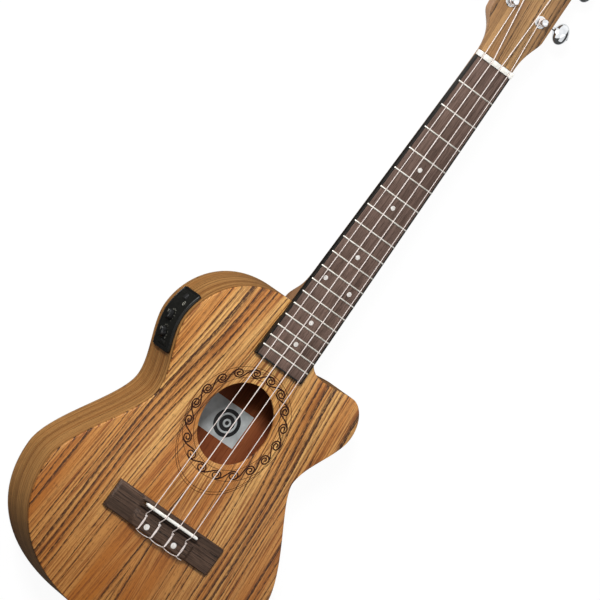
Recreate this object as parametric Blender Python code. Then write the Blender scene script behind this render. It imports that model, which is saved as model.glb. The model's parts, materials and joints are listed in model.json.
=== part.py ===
"""A tenor ukulele with a cutaway and a built-in pickup, lying on its back.

Metres, +Z up. The back rests on z = 0 with the soundboard up, the head points along +Y
and the cutaway is on the treble side, +X. The origin lies on the back, straight under the
saddle line and on the centreline.
"""

import math

import bmesh
import bpy
from mathutils import Matrix, Vector

# ---- Driving dimensions -------------------------------------------------------------------
GAP = 0.0003  # clearance between pieces that touch

# Strings and frets
SCALE_LENGTH = 0.430
FRET_COUNT = 18
JOINT_FRET = 14
STRING_DIAMETERS = {"g": 0.0007, "c": 0.0009, "e": 0.0008, "a": 0.00065}
SADDLE_SPREAD = 0.0412  # from the first string to the last
NUT_SPREAD = 0.027
CROWN_WIDTH = 0.0020
CROWN_HEIGHT = 0.0007
TANG_WIDTH = 0.0005
TANG_DEPTH = 0.0017
FRET_INSET = 0.0006  # from the board's edge to a fret's end

# Body
BODY_DEPTH = 0.052
SOUNDBOARD_THICKNESS = 0.0026
BACK_THICKNESS = 0.0030
WALL = 0.0025
TAIL_REACH = 0.100  # from the saddle line to the tail
LOWER_BOUT_HALF = 0.1120
LOWER_BOUT_Y = -0.016
WAIST_HALF = 0.0697
WAIST_Y = 0.0760
UPPER_BOUT_HALF = 0.0859
UPPER_BOUT_Y = 0.133
SHOULDER_HALF = 0.020
HORN_HALF = 0.0881
HORN_Y = 0.131
CREST_X = 0.0690
CREST_Y = 0.1570
HOLLOW_X = 0.0405
HOLLOW_Y = 0.1543
FOOT_X = 0.0225
FOOT_Y = 0.1720
HOLE_HALF_X = 0.0299
HOLE_HALF_Y = 0.0344
HOLE_Y = 0.0883
LINING_WIDTH = 0.0055
LINING_HEIGHT = 0.0063
NECK_BLOCK_DEPTH = 0.038
TAIL_BLOCK_HALF = 0.034
TAIL_BLOCK_THICKNESS = 0.015
BRACE_WIDTH = 0.009
BRACE_HEIGHT = 0.007
BRACE_TAPER = 0.022
BLOCK_TO_BRACE = 0.0207  # from the neck block to the upper brace's middle
LOWER_BRACE_Y = 0.043
BACK_BRACE_Y = 0.020
BRIDGE_PLATE_HALF = 0.060
BRIDGE_PLATE_THICKNESS = 0.0018
BRIDGE_PLATE_MARGIN = 0.004

# Bridge
BRIDGE_LENGTH = 0.107
BRIDGE_FRONT = 0.0030
BRIDGE_REAR = -0.0215
WING_HEIGHT = 0.0045
WING_EDGE = 0.0016
BLOCK_HEIGHT = 0.0077
BLOCK_HALF = 0.0268
SADDLE_LENGTH = 0.052
SADDLE_THICKNESS = 0.0027
SADDLE_Y = -0.0018
SADDLE_PROUD = 0.0026
SADDLE_SLOT_DEPTH = 0.0040
STRIP_THICKNESS = 0.0012
TRENCH_FRONT = -0.0050
TRENCH_REAR = -0.0088
TRENCH_DEPTH = 0.0035
TIE_HOLE_RADIUS = 0.0009
TIE_HOLE_DEPTH = 0.0022
TIE_END_Y = -0.0100

# Fretboard, nut and neck
NUT_WIDTH = 0.035
NUT_THICKNESS = 0.0046
NUT_HEIGHT = 0.0066
NUT_SLOT_DEPTH = 0.0009
BOARD_THICKNESS = 0.0047
BOARD_OVERHANG = 0.0095  # from the last fret to the board's end
BOARD_END_WIDTH = 0.0475
NECK_DEPTH = 0.0142
NUT_END_DEPTH = 0.0132
HEEL_SWEEP = 0.027
NECK_TAPER_LENGTH = 0.020  # from each end of the neck's straight part
NECK_EDGE = 0.0005  # the neck's side lies this far inside the fretboard's
HEEL_FULLNESS = 0.85  # see neck_section
NECK_FULLNESS = 1.5
HEAD_FULLNESS = 180

# Head, in its own plane: along X, u from the nut to the tip, w out of its face
HEAD_ANGLE = math.radians(10)
HEAD_LENGTH = 0.119
HEAD_THICKNESS = 0.0100
VENEER_THICKNESS = 0.0015
FLARE_U = 0.0335
FLARE_HALF = 0.0264
CROWN_U = 0.104
CROWN_HALF = 0.0302
TIP_HALF = 0.004
NUT_PULL = 0.018  # how far each end of the flare's curve keeps its direction
FLARE_PULL = 0.006
CROWN_PULL = 0.010
TIP_PULL = 0.012

# Tuners
POST_X = 0.0155
FIRST_POST_U = 0.0454
POST_SPACING = 0.0395
POST_RADIUS = 0.0025
POST_HEIGHT = 0.0108
POST_CAP_RADIUS = 0.0030
POST_CAP_HEIGHT = 0.0020
GEAR_RADIUS = 0.0038
GEAR_THICKNESS = 0.0030
WORM_RADIUS = 0.0018
SHAFT_RADIUS = 0.0014
BUSHING_RADIUS = 0.0037
COLLAR_RADIUS = 0.0050
COLLAR_THICKNESS = 0.0011
CASE_WALL = 0.0013
CASE_OUTER_X = 0.0074  # from the post's axis to the case's side nearest the button
BUTTON_X = 0.0285  # from the post's axis to the button's middle
BUTTON_HALF_LENGTH = 0.0062
BUTTON_HALF_WIDTH = 0.0090
BUTTON_HALF_THICKNESS = 0.0042
WIND_TURNS = 2.5
WIND_START_W = 0.0073

# Pickup panel in the bass side, at the upper bout
PLATE_FROM_Y = 0.1030
PLATE_TO_Y = 0.1530
PLATE_LOW = 0.0105
PLATE_HIGH = 0.0450
PLATE_PROUD = 0.0020
PLATE_CORNER = 0.0030
CUT_MARGIN_Y = 0.0016
CUT_MARGIN_Z = 0.0038
HOUSING_DEPTH = 0.024
VOLUME_KNOB_Y = 0.1285
TONE_KNOB_Y = 0.1157
KNOB_RADIUS = 0.0041
KNOB_HEIGHT = 0.0040
KNOB_SHAFT_RADIUS = 0.0018
KNOB_SHAFT_LENGTH = 0.0080
BUTTON_Y = 0.1462
POWER_BUTTON_SIZE = 0.0046
POWER_BUTTON_PROUD = 0.0012
POWER_BUTTON_STEM = 0.0045
POWER_BUTTON_TRAVEL = 0.0010
TRAY_Y = 0.1085
TRAY_THICKNESS = 0.0042
TRAY_HEIGHT = 0.0210
TRAY_LENGTH = 0.0200

# Output jack at the tail
JACK_HEIGHT = 0.026
JACK_SOCKET_RADIUS = 0.0033
JACK_SLEEVE_RADIUS = 0.0055
JACK_FLANGE_RADIUS = 0.0078
JACK_FLANGE_THICKNESS = 0.0022
JACK_NOSE = 0.0012
JACK_LENGTH = 0.033
JACK_END_WALL = 0.0020

# ---- Levels that follow from them ---------------------------------------------------------
TOP = BODY_DEPTH
RIM_LOW = BACK_THICKNESS + GAP
RIM_HIGH = BODY_DEPTH - SOUNDBOARD_THICKNESS - GAP
JOINT_Y = SCALE_LENGTH * 2 ** (-JOINT_FRET / 12)
BOARD_END_Y = SCALE_LENGTH * 2 ** (-FRET_COUNT / 12) - BOARD_OVERHANG
BLOCK_LOW_Y = JOINT_Y - WALL - GAP - NECK_BLOCK_DEPTH
UPPER_BRACE_Y = BLOCK_LOW_Y - BLOCK_TO_BRACE
BOARD_LOW = TOP + GAP
BOARD_HIGH = BOARD_LOW + BOARD_THICKNESS
NUT_FRONT_Y = SCALE_LENGTH + GAP
NUT_BACK_Y = NUT_FRONT_Y + NUT_THICKNESS
NUT_SLOT_FLOOR = BOARD_LOW + NUT_HEIGHT - NUT_SLOT_DEPTH
BRIDGE_LOW = TOP + GAP
WING_TOP = BRIDGE_LOW + WING_HEIGHT
BRIDGE_TOP = BRIDGE_LOW + BLOCK_HEIGHT
SLOT_FLOOR = BRIDGE_TOP - SADDLE_SLOT_DEPTH
SADDLE_LOW = SLOT_FLOOR + STRIP_THICKNESS + 2 * GAP
SADDLE_TOP = BRIDGE_TOP + SADDLE_PROUD
LINING_INSET = WALL + GAP
CAVITY_INSET = LINING_INSET + LINING_WIDTH + GAP
HEEL_DEPTH = BODY_DEPTH
CASE_TOP_W = -HEAD_THICKNESS - GAP
VENEER_TOP_W = GAP + VENEER_THICKNESS
WORM_U = GEAR_RADIUS + WORM_RADIUS + GAP
CASE_DEPTH = 2 * (WORM_RADIUS + GAP + CASE_WALL)
AXLE_W = CASE_TOP_W - CASE_DEPTH / 2
PANEL_MIDDLE = (PLATE_LOW + PLATE_HIGH) / 2


# ---- Materials ----------------------------------------------------------------------------
def linear(channel):
    """One sRGB channel, 0 to 255, as linear light."""
    share = channel / 255
    return share / 12.92 if share <= 0.04045 else ((share + 0.055) / 1.055) ** 2.4


def material(name, colour, roughness, metallic=0.0):
    """A plain finish. Colour is an sRGB hex value."""
    made = bpy.data.materials.get(name)
    if made:
        return made
    made = bpy.data.materials.new(name)
    made.use_nodes = True
    shader = made.node_tree.nodes["Principled BSDF"]
    channels = [linear(int(colour[i : i + 2], 16)) for i in (0, 2, 4)]
    shader.inputs["Base Color"].default_value = (*channels, 1.0)
    shader.inputs["Roughness"].default_value = roughness
    shader.inputs["Metallic"].default_value = metallic
    made.diffuse_color = (*channels, 1.0)
    return made


FINISHES = {
    "striped top": ("B98A54", 0.35),
    "side veneer": ("8A6238", 0.35),
    "inner wood": ("7A4326", 0.70),
    "neck mahogany": ("8C5B3C", 0.45),
    "head veneer": ("8A6443", 0.40),
    "fretboard rosewood": ("5F4B44", 0.50),
    "bridge rosewood": ("3A2E2A", 0.55),
    "bone": ("EFEDE3", 0.40),
    "nickel silver": ("C9C7C0", 0.25, 1.0),
    "nylon": ("E6D8D2", 0.40),
    "chrome": ("D8DADC", 0.08, 1.0),
    "black ABS": ("1B1B1D", 0.45),
    "black rubber": ("141414", 0.80),
    "pickup film": ("B08B4A", 0.50),
}


# ---- Small builders -----------------------------------------------------------------------
def add(name, shape, finish, parent=None):
    """Makes an object of a finished bmesh, its faces turned outwards."""
    bmesh.ops.recalc_face_normals(shape, faces=shape.faces)
    mesh = bpy.data.meshes.new(name)
    shape.to_mesh(mesh)
    shape.free()
    made = bpy.data.objects.new(name, mesh)
    bpy.context.scene.collection.objects.link(made)
    if finish:
        mesh.materials.append(material(finish, *FINISHES[finish]))
    made.parent = parent
    return made


PLANES = {
    "xy": lambda a, b, along: (a, b, along),
    "xz": lambda a, b, along: (a, along, b),
    "yz": lambda a, b, along: (along, a, b),
}


def prism(name, outline, low, high, finish, plane="xy", parent=None):
    """A flat outline extruded from low to high, square to its plane."""
    place = PLANES[plane]
    shape = bmesh.new()
    face = shape.faces.new([shape.verts.new(place(a, b, low)) for a, b in outline])
    grown = bmesh.ops.extrude_face_region(shape, geom=[face])["geom"]
    moved = [item for item in grown if isinstance(item, bmesh.types.BMVert)]
    bmesh.ops.translate(shape, verts=moved, vec=place(0, 0, high - low))
    return add(name, shape, finish, parent)


def loft(name, rings, finish, parent=None):
    """A skin over rings of equally many points, closed by a face at each end."""
    shape = bmesh.new()
    loops = [[shape.verts.new(point) for point in ring] for ring in rings]
    for here, there in zip(loops, loops[1:]):
        for i in range(len(here)):
            shape.faces.new((here[i - 1], here[i], there[i], there[i - 1]))
    shape.faces.new(loops[0])
    shape.faces.new(loops[-1])
    return add(name, shape, finish, parent)


def turned(name, profile, sides, finish, parent=None):
    """A profile of (radius, height) turned about Z."""
    shape = bmesh.new()
    points = [shape.verts.new((radius, 0, height)) for radius, height in profile]
    edges = [shape.edges.new(pair) for pair in zip(points, points[1:])]
    bmesh.ops.spin(
        shape,
        geom=points + edges,
        cent=(0, 0, 0),
        axis=(0, 0, 1),
        angle=math.tau,
        steps=sides,
        use_merge=True,
    )
    bmesh.ops.remove_doubles(shape, verts=shape.verts, dist=1e-6)
    made = add(name, shape, finish, parent)
    round_off(made)
    return made


def round_off(made):
    """Shades a round piece smooth, with its corners kept sharp."""
    made.data.shade_smooth()
    made.data.set_sharp_from_angle(angle=math.radians(35))


def rod(name, start, end, radius, sides=16, parent=None):
    """A round bar between two points, used as a cutter."""
    start, end = Vector(start), Vector(end)
    shape = bmesh.new()
    bmesh.ops.create_cone(
        shape,
        cap_ends=True,
        segments=sides,
        radius1=radius,
        radius2=radius,
        depth=(end - start).length,
    )
    turn = Vector((0, 0, 1)).rotation_difference(end - start).to_matrix().to_4x4()
    bmesh.ops.transform(shape, matrix=Matrix.Translation((start + end) / 2) @ turn, verts=shape.verts)
    return add(name, shape, None, parent)


def brick(name, low, high, finish=None, parent=None):
    """A box between two corners."""
    outline = [(low[0], low[1]), (high[0], low[1]), (high[0], high[1]), (low[0], high[1])]
    return prism(name, outline, low[2], high[2], finish, parent=parent)


def cut(piece, *cutters):
    """Takes each cutter out of the piece."""
    for tool in cutters:
        tool.hide_render = True
        tool.display_type = "WIRE"
        change = piece.modifiers.new("cut " + tool.name, "BOOLEAN")
        change.operation = "DIFFERENCE"
        change.solver = "EXACT"
        change.object = tool


def weld(piece, other):
    """Joins the other shape to the piece."""
    other.hide_render = True
    other.display_type = "WIRE"
    change = piece.modifiers.new("weld " + other.name, "BOOLEAN")
    change.operation = "UNION"
    change.solver = "EXACT"
    change.object = other


# ---- The body's outline -------------------------------------------------------------------
def bezier(start, pull_start, pull_end, end, steps):
    """Points of a cubic curve from its start up to, but without, its end."""
    points = []
    for i in range(steps):
        t = i / steps
        near = start * (1 - t) ** 3 + pull_start * (3 * t * (1 - t) ** 2)
        far = pull_end * (3 * t * t * (1 - t)) + end * t**3
        points.append(near + far)
    return points


# Each knot: x, y, direction, pull before it, pull after it, steps to the next knot.
BODY_KNOTS = [
    (0.0, -TAIL_REACH, (1, 0), 0.068, 0.068, 8),
    (LOWER_BOUT_HALF, LOWER_BOUT_Y, (0, 1), 0.054, 0.0295, 8),
    (WAIST_HALF, WAIST_Y, (0, 1), 0.0168, 0.018, 6),
    (HORN_HALF, HORN_Y, (0, 1), 0.018, 0.014, 6),
    (CREST_X, CREST_Y, (-1, -0.05), 0.010, 0.010, 4),
    (HOLLOW_X, HOLLOW_Y, (-1, 0), 0.010, 0.0095, 6),
    (FOOT_X, FOOT_Y, (0, 1), 0.0137, 0, 1),
    (FOOT_X, JOINT_Y, (-1, 0), 0, 0, 1),
    (0.0, JOINT_Y, (-1, 0), 0, 0, 1),
    (-SHOULDER_HALF, JOINT_Y, (-1, 0), 0, 0.045, 9),
    (-UPPER_BOUT_HALF, UPPER_BOUT_Y, (0, -1), 0.027, 0.018, 6),
    (-WAIST_HALF, WAIST_Y, (0, -1), 0.018, 0.0225, 8),
    (-LOWER_BOUT_HALF, LOWER_BOUT_Y, (0, -1), 0.0275, 0.054, 8),
]


def body_outline(fineness=1):
    """The body's outline, anticlockwise from the tail, and each knot's place in it."""
    points, places = [], []
    for knot, after in zip(BODY_KNOTS, BODY_KNOTS[1:] + BODY_KNOTS[:1]):
        start, end = Vector(knot[:2]), Vector(after[:2])
        places.append(len(points))
        pull_start = start + Vector(knot[2]) * knot[4]
        pull_end = end - Vector(after[2]) * after[3]
        points += bezier(start, pull_start, pull_end, end, knot[5] * fineness)
    return points, places


def inset(points, distance):
    """A closed anticlockwise outline moved inwards, mitred at each point."""
    moved = []
    for i, here in enumerate(points):
        before = (here - points[i - 1]).normalized()
        after = (points[(i + 1) % len(points)] - here).normalized()
        normal = Vector((-before.y, before.x))
        inward = (normal + Vector((-after.y, after.x))).normalized()
        moved.append(here + inward * (distance / inward.dot(normal)))
    return moved


def crossings(points, axis, value):
    """Where a closed outline crosses x = value (axis 0) or y = value (axis 1), in order."""
    found = []
    for here, there in zip(points, points[1:] + points[:1]):
        if (here[axis] < value) != (there[axis] < value):
            share = (value - here[axis]) / (there[axis] - here[axis])
            found.append(here[1 - axis] + share * (there[1 - axis] - here[1 - axis]))
    return sorted(found)


OUTLINE, PLACES = body_outline()
NECK_MIDDLE = PLACES[8]
HOLLOW_PLACE = PLACES[5]
SHOULDER_PLACE = PLACES[9]


def span(low, high, distance):
    """The widest x range, between two y values, that stays inside the inset outline."""
    inner = inset(OUTLINE, distance)
    rows = [crossings(inner, 1, y) for y in (low, (low + high) / 2, high)]
    return max(row[0] for row in rows), min(row[-1] for row in rows)


# ---- Body ---------------------------------------------------------------------------------
def make_boards():
    """The soundboard with its oval hole, and the back."""
    soundboard = prism("soundboard", OUTLINE, TOP - SOUNDBOARD_THICKNESS, TOP, "striped top")
    oval = []
    for i in range(32):
        angle = math.tau * i / 32
        oval.append((HOLE_HALF_X * math.cos(angle), HOLE_Y + HOLE_HALF_Y * math.sin(angle)))
    cut(soundboard, prism("hole_cutter", oval, TOP - 3 * SOUNDBOARD_THICKNESS, TOP + WALL, None))
    prism("back", OUTLINE, 0, BACK_THICKNESS, "side veneer")


def make_sides():
    """The two bent sides. They meet at the tail and behind the neck."""
    inner = inset(OUTLINE, WALL)
    sides = []
    for name, outside, inside in (
        ("side_treble", OUTLINE[: NECK_MIDDLE + 1], inner[: NECK_MIDDLE + 1]),
        ("side_bass", OUTLINE[NECK_MIDDLE:] + OUTLINE[:1], inner[NECK_MIDDLE:] + inner[:1]),
    ):
        toward = 1 if name == "side_treble" else -1
        for row in (outside, inside):
            for end in (0, -1):
                row[end] = Vector((toward * GAP / 2, row[end].y))
        made = prism(name, outside + inside[::-1], RIM_LOW, RIM_HIGH, "side veneer")
        cut(made, bpy.data.objects["jack_cutter"])
        sides.append(made)
    return sides


def make_linings():
    """The strips that glue the boards to the sides, from the neck block round the tail."""
    outer, inner = inset(OUTLINE, LINING_INSET), inset(OUTLINE, LINING_INSET + LINING_WIDTH)
    bass_end = next(
        i for i in range(SHOULDER_PLACE, len(OUTLINE)) if inner[i].x < -FOOT_X - 2 * LINING_WIDTH
    )
    outside = outer[bass_end:] + outer[: HOLLOW_PLACE + 1]
    inside = inner[bass_end:] + inner[: HOLLOW_PLACE + 1]
    strip = outside + inside[::-1]
    prism("top_lining", strip, RIM_HIGH - LINING_HEIGHT, RIM_HIGH - GAP, "inner wood")
    prism("back_lining", strip, RIM_LOW + GAP, RIM_LOW + LINING_HEIGHT, "inner wood")


def make_blocks():
    """The neck block, between the boards, and the tail block, between the linings."""
    neck_right = FOOT_X - WALL - GAP
    brick(
        "neck_block",
        (-FOOT_X, BLOCK_LOW_Y, RIM_LOW + GAP),
        (neck_right, BLOCK_LOW_Y + NECK_BLOCK_DEPTH, RIM_HIGH - GAP),
        "inner wood",
    )
    inner = inset(OUTLINE, LINING_INSET)
    face = []
    for i in range(7):
        x = TAIL_BLOCK_HALF * (i / 3 - 1)
        face.append((x, crossings(inner, 0, x)[0]))
    flat = face[3][1] + TAIL_BLOCK_THICKNESS
    outline = face + [(TAIL_BLOCK_HALF, flat), (-TAIL_BLOCK_HALF, flat)]
    low = RIM_LOW + LINING_HEIGHT + GAP
    block = prism("tail_block", outline, low, RIM_HIGH - LINING_HEIGHT - GAP, "inner wood")
    cut(block, bpy.data.objects["jack_cutter"])


def make_brace(name, y, board, toward):
    """A bar across a board, thinned at its ends. It stands off the board towards the cavity."""
    left, right = span(y - BRACE_WIDTH / 2, y + BRACE_WIDTH / 2, CAVITY_INSET)
    thin = board + toward * BRACE_HEIGHT * 0.4
    full = board + toward * BRACE_HEIGHT
    profile = [
        (left, board),
        (right, board),
        (right, thin),
        (right - BRACE_TAPER, full),
        (left + BRACE_TAPER, full),
        (left, thin),
    ]
    prism(name, profile, y - BRACE_WIDTH / 2, y + BRACE_WIDTH / 2, "inner wood", plane="xz")


def make_bracing():
    """The braces, and the plate under the bridge."""
    under = RIM_HIGH
    make_brace("top_brace_upper", UPPER_BRACE_Y, under, -1)
    make_brace("top_brace_lower", LOWER_BRACE_Y, under, -1)
    make_brace("back_brace", BACK_BRACE_Y, RIM_LOW, 1)
    brick(
        "bridge_plate",
        (-BRIDGE_PLATE_HALF, BRIDGE_REAR - BRIDGE_PLATE_MARGIN, under - BRIDGE_PLATE_THICKNESS),
        (BRIDGE_PLATE_HALF, BRIDGE_FRONT + BRIDGE_PLATE_MARGIN, under),
        "inner wood",
    )


# ---- Bridge -------------------------------------------------------------------------------
def string_places(spread):
    """The strings' x values, from the bass side: G, C, E and A."""
    return {name: spread * (i / 3 - 0.5) for i, name in enumerate(STRING_DIAMETERS)}


def bridge_section(x, rise, edge):
    """The bridge's end view at x. Rise runs from 0 on the wings to 1 on the middle."""
    top = WING_TOP + rise * (BRIDGE_TOP - WING_TOP) - edge
    slot = rise * SADDLE_SLOT_DEPTH
    trench = rise * TRENCH_DEPTH
    half = SADDLE_THICKNESS / 2 + GAP
    lean = 0.0001
    row = [
        (BRIDGE_REAR, BRIDGE_LOW),
        (BRIDGE_FRONT, BRIDGE_LOW),
        (BRIDGE_FRONT, top - WING_EDGE),
        (BRIDGE_FRONT - WING_EDGE, top),
        (SADDLE_Y + half, top),
        (SADDLE_Y + half - lean, top - slot),
        (SADDLE_Y - half + lean, top - slot),
        (SADDLE_Y - half, top),
        (TRENCH_FRONT, top - rise * 0.0005),
        (TRENCH_FRONT - lean, top - trench),
        (TRENCH_REAR + lean, top - trench),
        (TRENCH_REAR, top),
        (BRIDGE_REAR + WING_EDGE / 2, top),
        (BRIDGE_REAR, top - WING_EDGE / 2),
    ]
    return [(x, y, z) for y, z in row]


def make_bridge():
    """The tie bridge, with its slot, trench and string holes, its saddle and pickup strip."""
    half = BRIDGE_LENGTH / 2
    shoulder = BLOCK_HALF + (BRIDGE_TOP - WING_TOP)
    ends = [(half, 0, WING_EDGE), (half - WING_EDGE, 0, 0), (shoulder, 0, 0), (BLOCK_HALF, 1, 0)]
    stations = [(-x, rise, edge) for x, rise, edge in ends] + ends[::-1]
    bridge = loft("bridge", [bridge_section(*station) for station in stations], "bridge rosewood")
    hole_z = BRIDGE_TOP - TIE_HOLE_DEPTH
    for name, x in string_places(SADDLE_SPREAD).items():
        start = (x, BRIDGE_REAR - WALL, hole_z)
        end = (x, TRENCH_REAR + WALL, hole_z)
        cut(bridge, rod("tie_hole_cutter_" + name, start, end, TIE_HOLE_RADIUS, 8))

    brick(
        "piezo_strip",
        (-SADDLE_LENGTH / 2, SADDLE_Y - SADDLE_THICKNESS / 2 + GAP, SLOT_FLOOR + GAP),
        (SADDLE_LENGTH / 2, SADDLE_Y + SADDLE_THICKNESS / 2 - GAP, SLOT_FLOOR + GAP + STRIP_THICKNESS),
        "pickup film",
    )
    outline = []
    radius = SADDLE_THICKNESS / 2
    for side in (1, -1):
        for i in range(5):
            angle = math.pi * (i / 4 - 0.5)
            x = side * (SADDLE_LENGTH / 2 - radius + radius * math.cos(angle))
            outline.append((x, SADDLE_Y + side * radius * math.sin(angle)))
    rings = []
    for z, shrink in ((SADDLE_LOW, 0), (SADDLE_TOP - 0.0006, 0), (SADDLE_TOP, 0.0005)):
        share = 1 - shrink / radius
        rings.append([(x, SADDLE_Y + (y - SADDLE_Y) * share, z) for x, y in outline])
    loft("saddle", rings, "bone")


# ---- Fretboard, frets and nut -------------------------------------------------------------
def fret_y(number):
    """A fret's distance from the saddle line."""
    return SCALE_LENGTH * 2 ** (-number / 12)


def board_half(y):
    """Half the fretboard's width: a straight taper from the nut to the board's end."""
    share = (SCALE_LENGTH - y) / (SCALE_LENGTH - BOARD_END_Y)
    return (NUT_WIDTH + share * (BOARD_END_WIDTH - NUT_WIDTH)) / 2


def make_fretboard():
    """The board, as a side view with a slot for each fret, tapered in plan."""
    slot = TANG_WIDTH / 2 + GAP
    floor = BOARD_HIGH - TANG_DEPTH - 2 * GAP
    profile = [(SCALE_LENGTH, BOARD_HIGH), (SCALE_LENGTH, BOARD_LOW)]
    profile += [(BOARD_END_Y, BOARD_LOW), (BOARD_END_Y, BOARD_HIGH)]
    for number in range(FRET_COUNT, 0, -1):
        y = fret_y(number)
        profile += [(y - slot, BOARD_HIGH), (y - slot, floor), (y + slot, floor), (y + slot, BOARD_HIGH)]
    board = prism("fretboard", profile, -1, 1, "fretboard rosewood", plane="yz")
    for vertex in board.data.vertices:
        vertex.co.x *= board_half(vertex.co.y)


def make_frets():
    """Eighteen lengths of T-shaped wire, each a crown on a tang."""
    tang = TANG_WIDTH / 2
    crown = CROWN_WIDTH / 2
    profile = [(-tang, -TANG_DEPTH), (tang, -TANG_DEPTH), (tang, GAP), (crown, GAP)]
    for i in range(1, 5):
        angle = math.pi * i / 5
        profile.append((crown * math.cos(angle), GAP + CROWN_HEIGHT * math.sin(angle)))
    profile += [(-crown, GAP), (-tang, GAP)]
    for number in range(1, FRET_COUNT + 1):
        y = fret_y(number)
        half = board_half(y) - FRET_INSET
        name = f"fret_{number:02d}"
        fret = prism(name, profile, -half, half, "nickel silver", plane="yz")
        fret.location = (0, y, BOARD_HIGH)


def make_nut():
    """The nut, with a slot under each string."""
    top = BOARD_LOW + NUT_HEIGHT
    half = NUT_WIDTH / 2
    profile = [(-half, BOARD_LOW), (-half, top)]
    for name, x in string_places(NUT_SPREAD).items():
        reach = STRING_DIAMETERS[name] / 2 + GAP
        profile += [
            (x - reach, top),
            (x - reach, NUT_SLOT_FLOOR),
            (x + reach, NUT_SLOT_FLOOR),
            (x + reach, top),
        ]
    profile += [(half, top), (half, BOARD_LOW)]
    prism("nut", profile, NUT_FRONT_Y, NUT_BACK_Y, "bone", plane="xz")


# ---- Neck and head ------------------------------------------------------------------------
HEAD = Matrix.Translation((0, NUT_BACK_Y + GAP, TOP)) @ Matrix.Rotation(-HEAD_ANGLE, 4, "X")


def head_outline():
    """The head's right edge as (half width, u), from the nut to the tip."""
    nut, flare = Vector((NUT_WIDTH / 2, 0)), Vector((FLARE_HALF, FLARE_U))
    crown, tip = Vector((CROWN_HALF, CROWN_U)), Vector((TIP_HALF, HEAD_LENGTH))
    edge = bezier(nut, nut + Vector((0, NUT_PULL)), flare - Vector((0, FLARE_PULL)), flare, 7)
    edge += [flare]
    edge += bezier(crown, crown + Vector((0, CROWN_PULL)), tip + Vector((TIP_PULL, -TIP_PULL / 6)), tip, 6)
    return edge + [tip]


def neck_section(half, depth, fullness, place):
    """One cross-section: a flat top, and sides that close in towards the bottom.

    Fullness 1 closes like a boat's bow, 2 like an ellipse, and far more makes it square.
    """
    shares = (0, 0.2, 0.4, 0.6, 0.78, 0.9, 0.97)
    reach = depth / shares[-1]
    right = [(half * math.sqrt(1 - share**fullness), -reach * share) for share in shares]
    return [place(x, z) for x, z in right] + [place(-x, z) for x, z in right[::-1]]


def neck_stations():
    """(y, depth, fullness) along the neck, from the heel to just before the nut."""
    start = JOINT_Y + GAP
    end = start + HEEL_SWEEP
    rows = []
    for share in (0, 0.12, 0.26, 0.42, 0.58, 0.74, 0.88, 1.0):
        rise = (1 - math.cos(math.pi * share)) / 2
        depth = HEEL_DEPTH + rise * (NECK_DEPTH - HEEL_DEPTH)
        fullness = HEEL_FULLNESS + rise * (NECK_FULLNESS - HEEL_FULLNESS)
        rows.append((start + share * HEEL_SWEEP, depth, fullness))
    rows.append((end + NECK_TAPER_LENGTH, (NECK_DEPTH + NUT_END_DEPTH) / 2, NECK_FULLNESS))
    rows.append((SCALE_LENGTH - NECK_TAPER_LENGTH, NUT_END_DEPTH, NECK_FULLNESS))
    return rows


def make_neck():
    """The neck with its heel and its angled head, from one piece of wood."""
    rings = []
    for y, depth, fullness in neck_stations():
        half = board_half(y) - NECK_EDGE
        rings.append(neck_section(half, depth, fullness, lambda x, z: Vector((x, y, TOP + z))))
    for half, u in head_outline():
        share = min(u / FLARE_U, 1)
        depth = NUT_END_DEPTH + share * (HEAD_THICKNESS - NUT_END_DEPTH)
        fullness = NECK_FULLNESS * (HEAD_FULLNESS / NECK_FULLNESS) ** share**4
        rings.append(neck_section(half, depth, fullness, lambda x, z: HEAD @ Vector((x, u, z))))
    neck = loft("neck", rings, "neck mahogany")
    round_off(neck)
    return neck


def make_head_veneer(head):
    """The thin face of the head."""
    right = [(x, u) for x, u in head_outline()]
    outline = right + [(-x, u) for x, u in right[::-1]]
    return prism("head_veneer", outline, GAP, VENEER_TOP_W, "head veneer", parent=head)


# ---- Tuners -------------------------------------------------------------------------------
def post_places():
    """(number, side, x, u) of each post: 1 and 2 on the bass side, 3 and 4 on the treble."""
    rows = ((1, -1, 0), (2, -1, 1), (3, 1, 1), (4, 1, 0))
    return [(n, side, side * POST_X, FIRST_POST_U + row * POST_SPACING) for n, side, row in rows]


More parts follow.
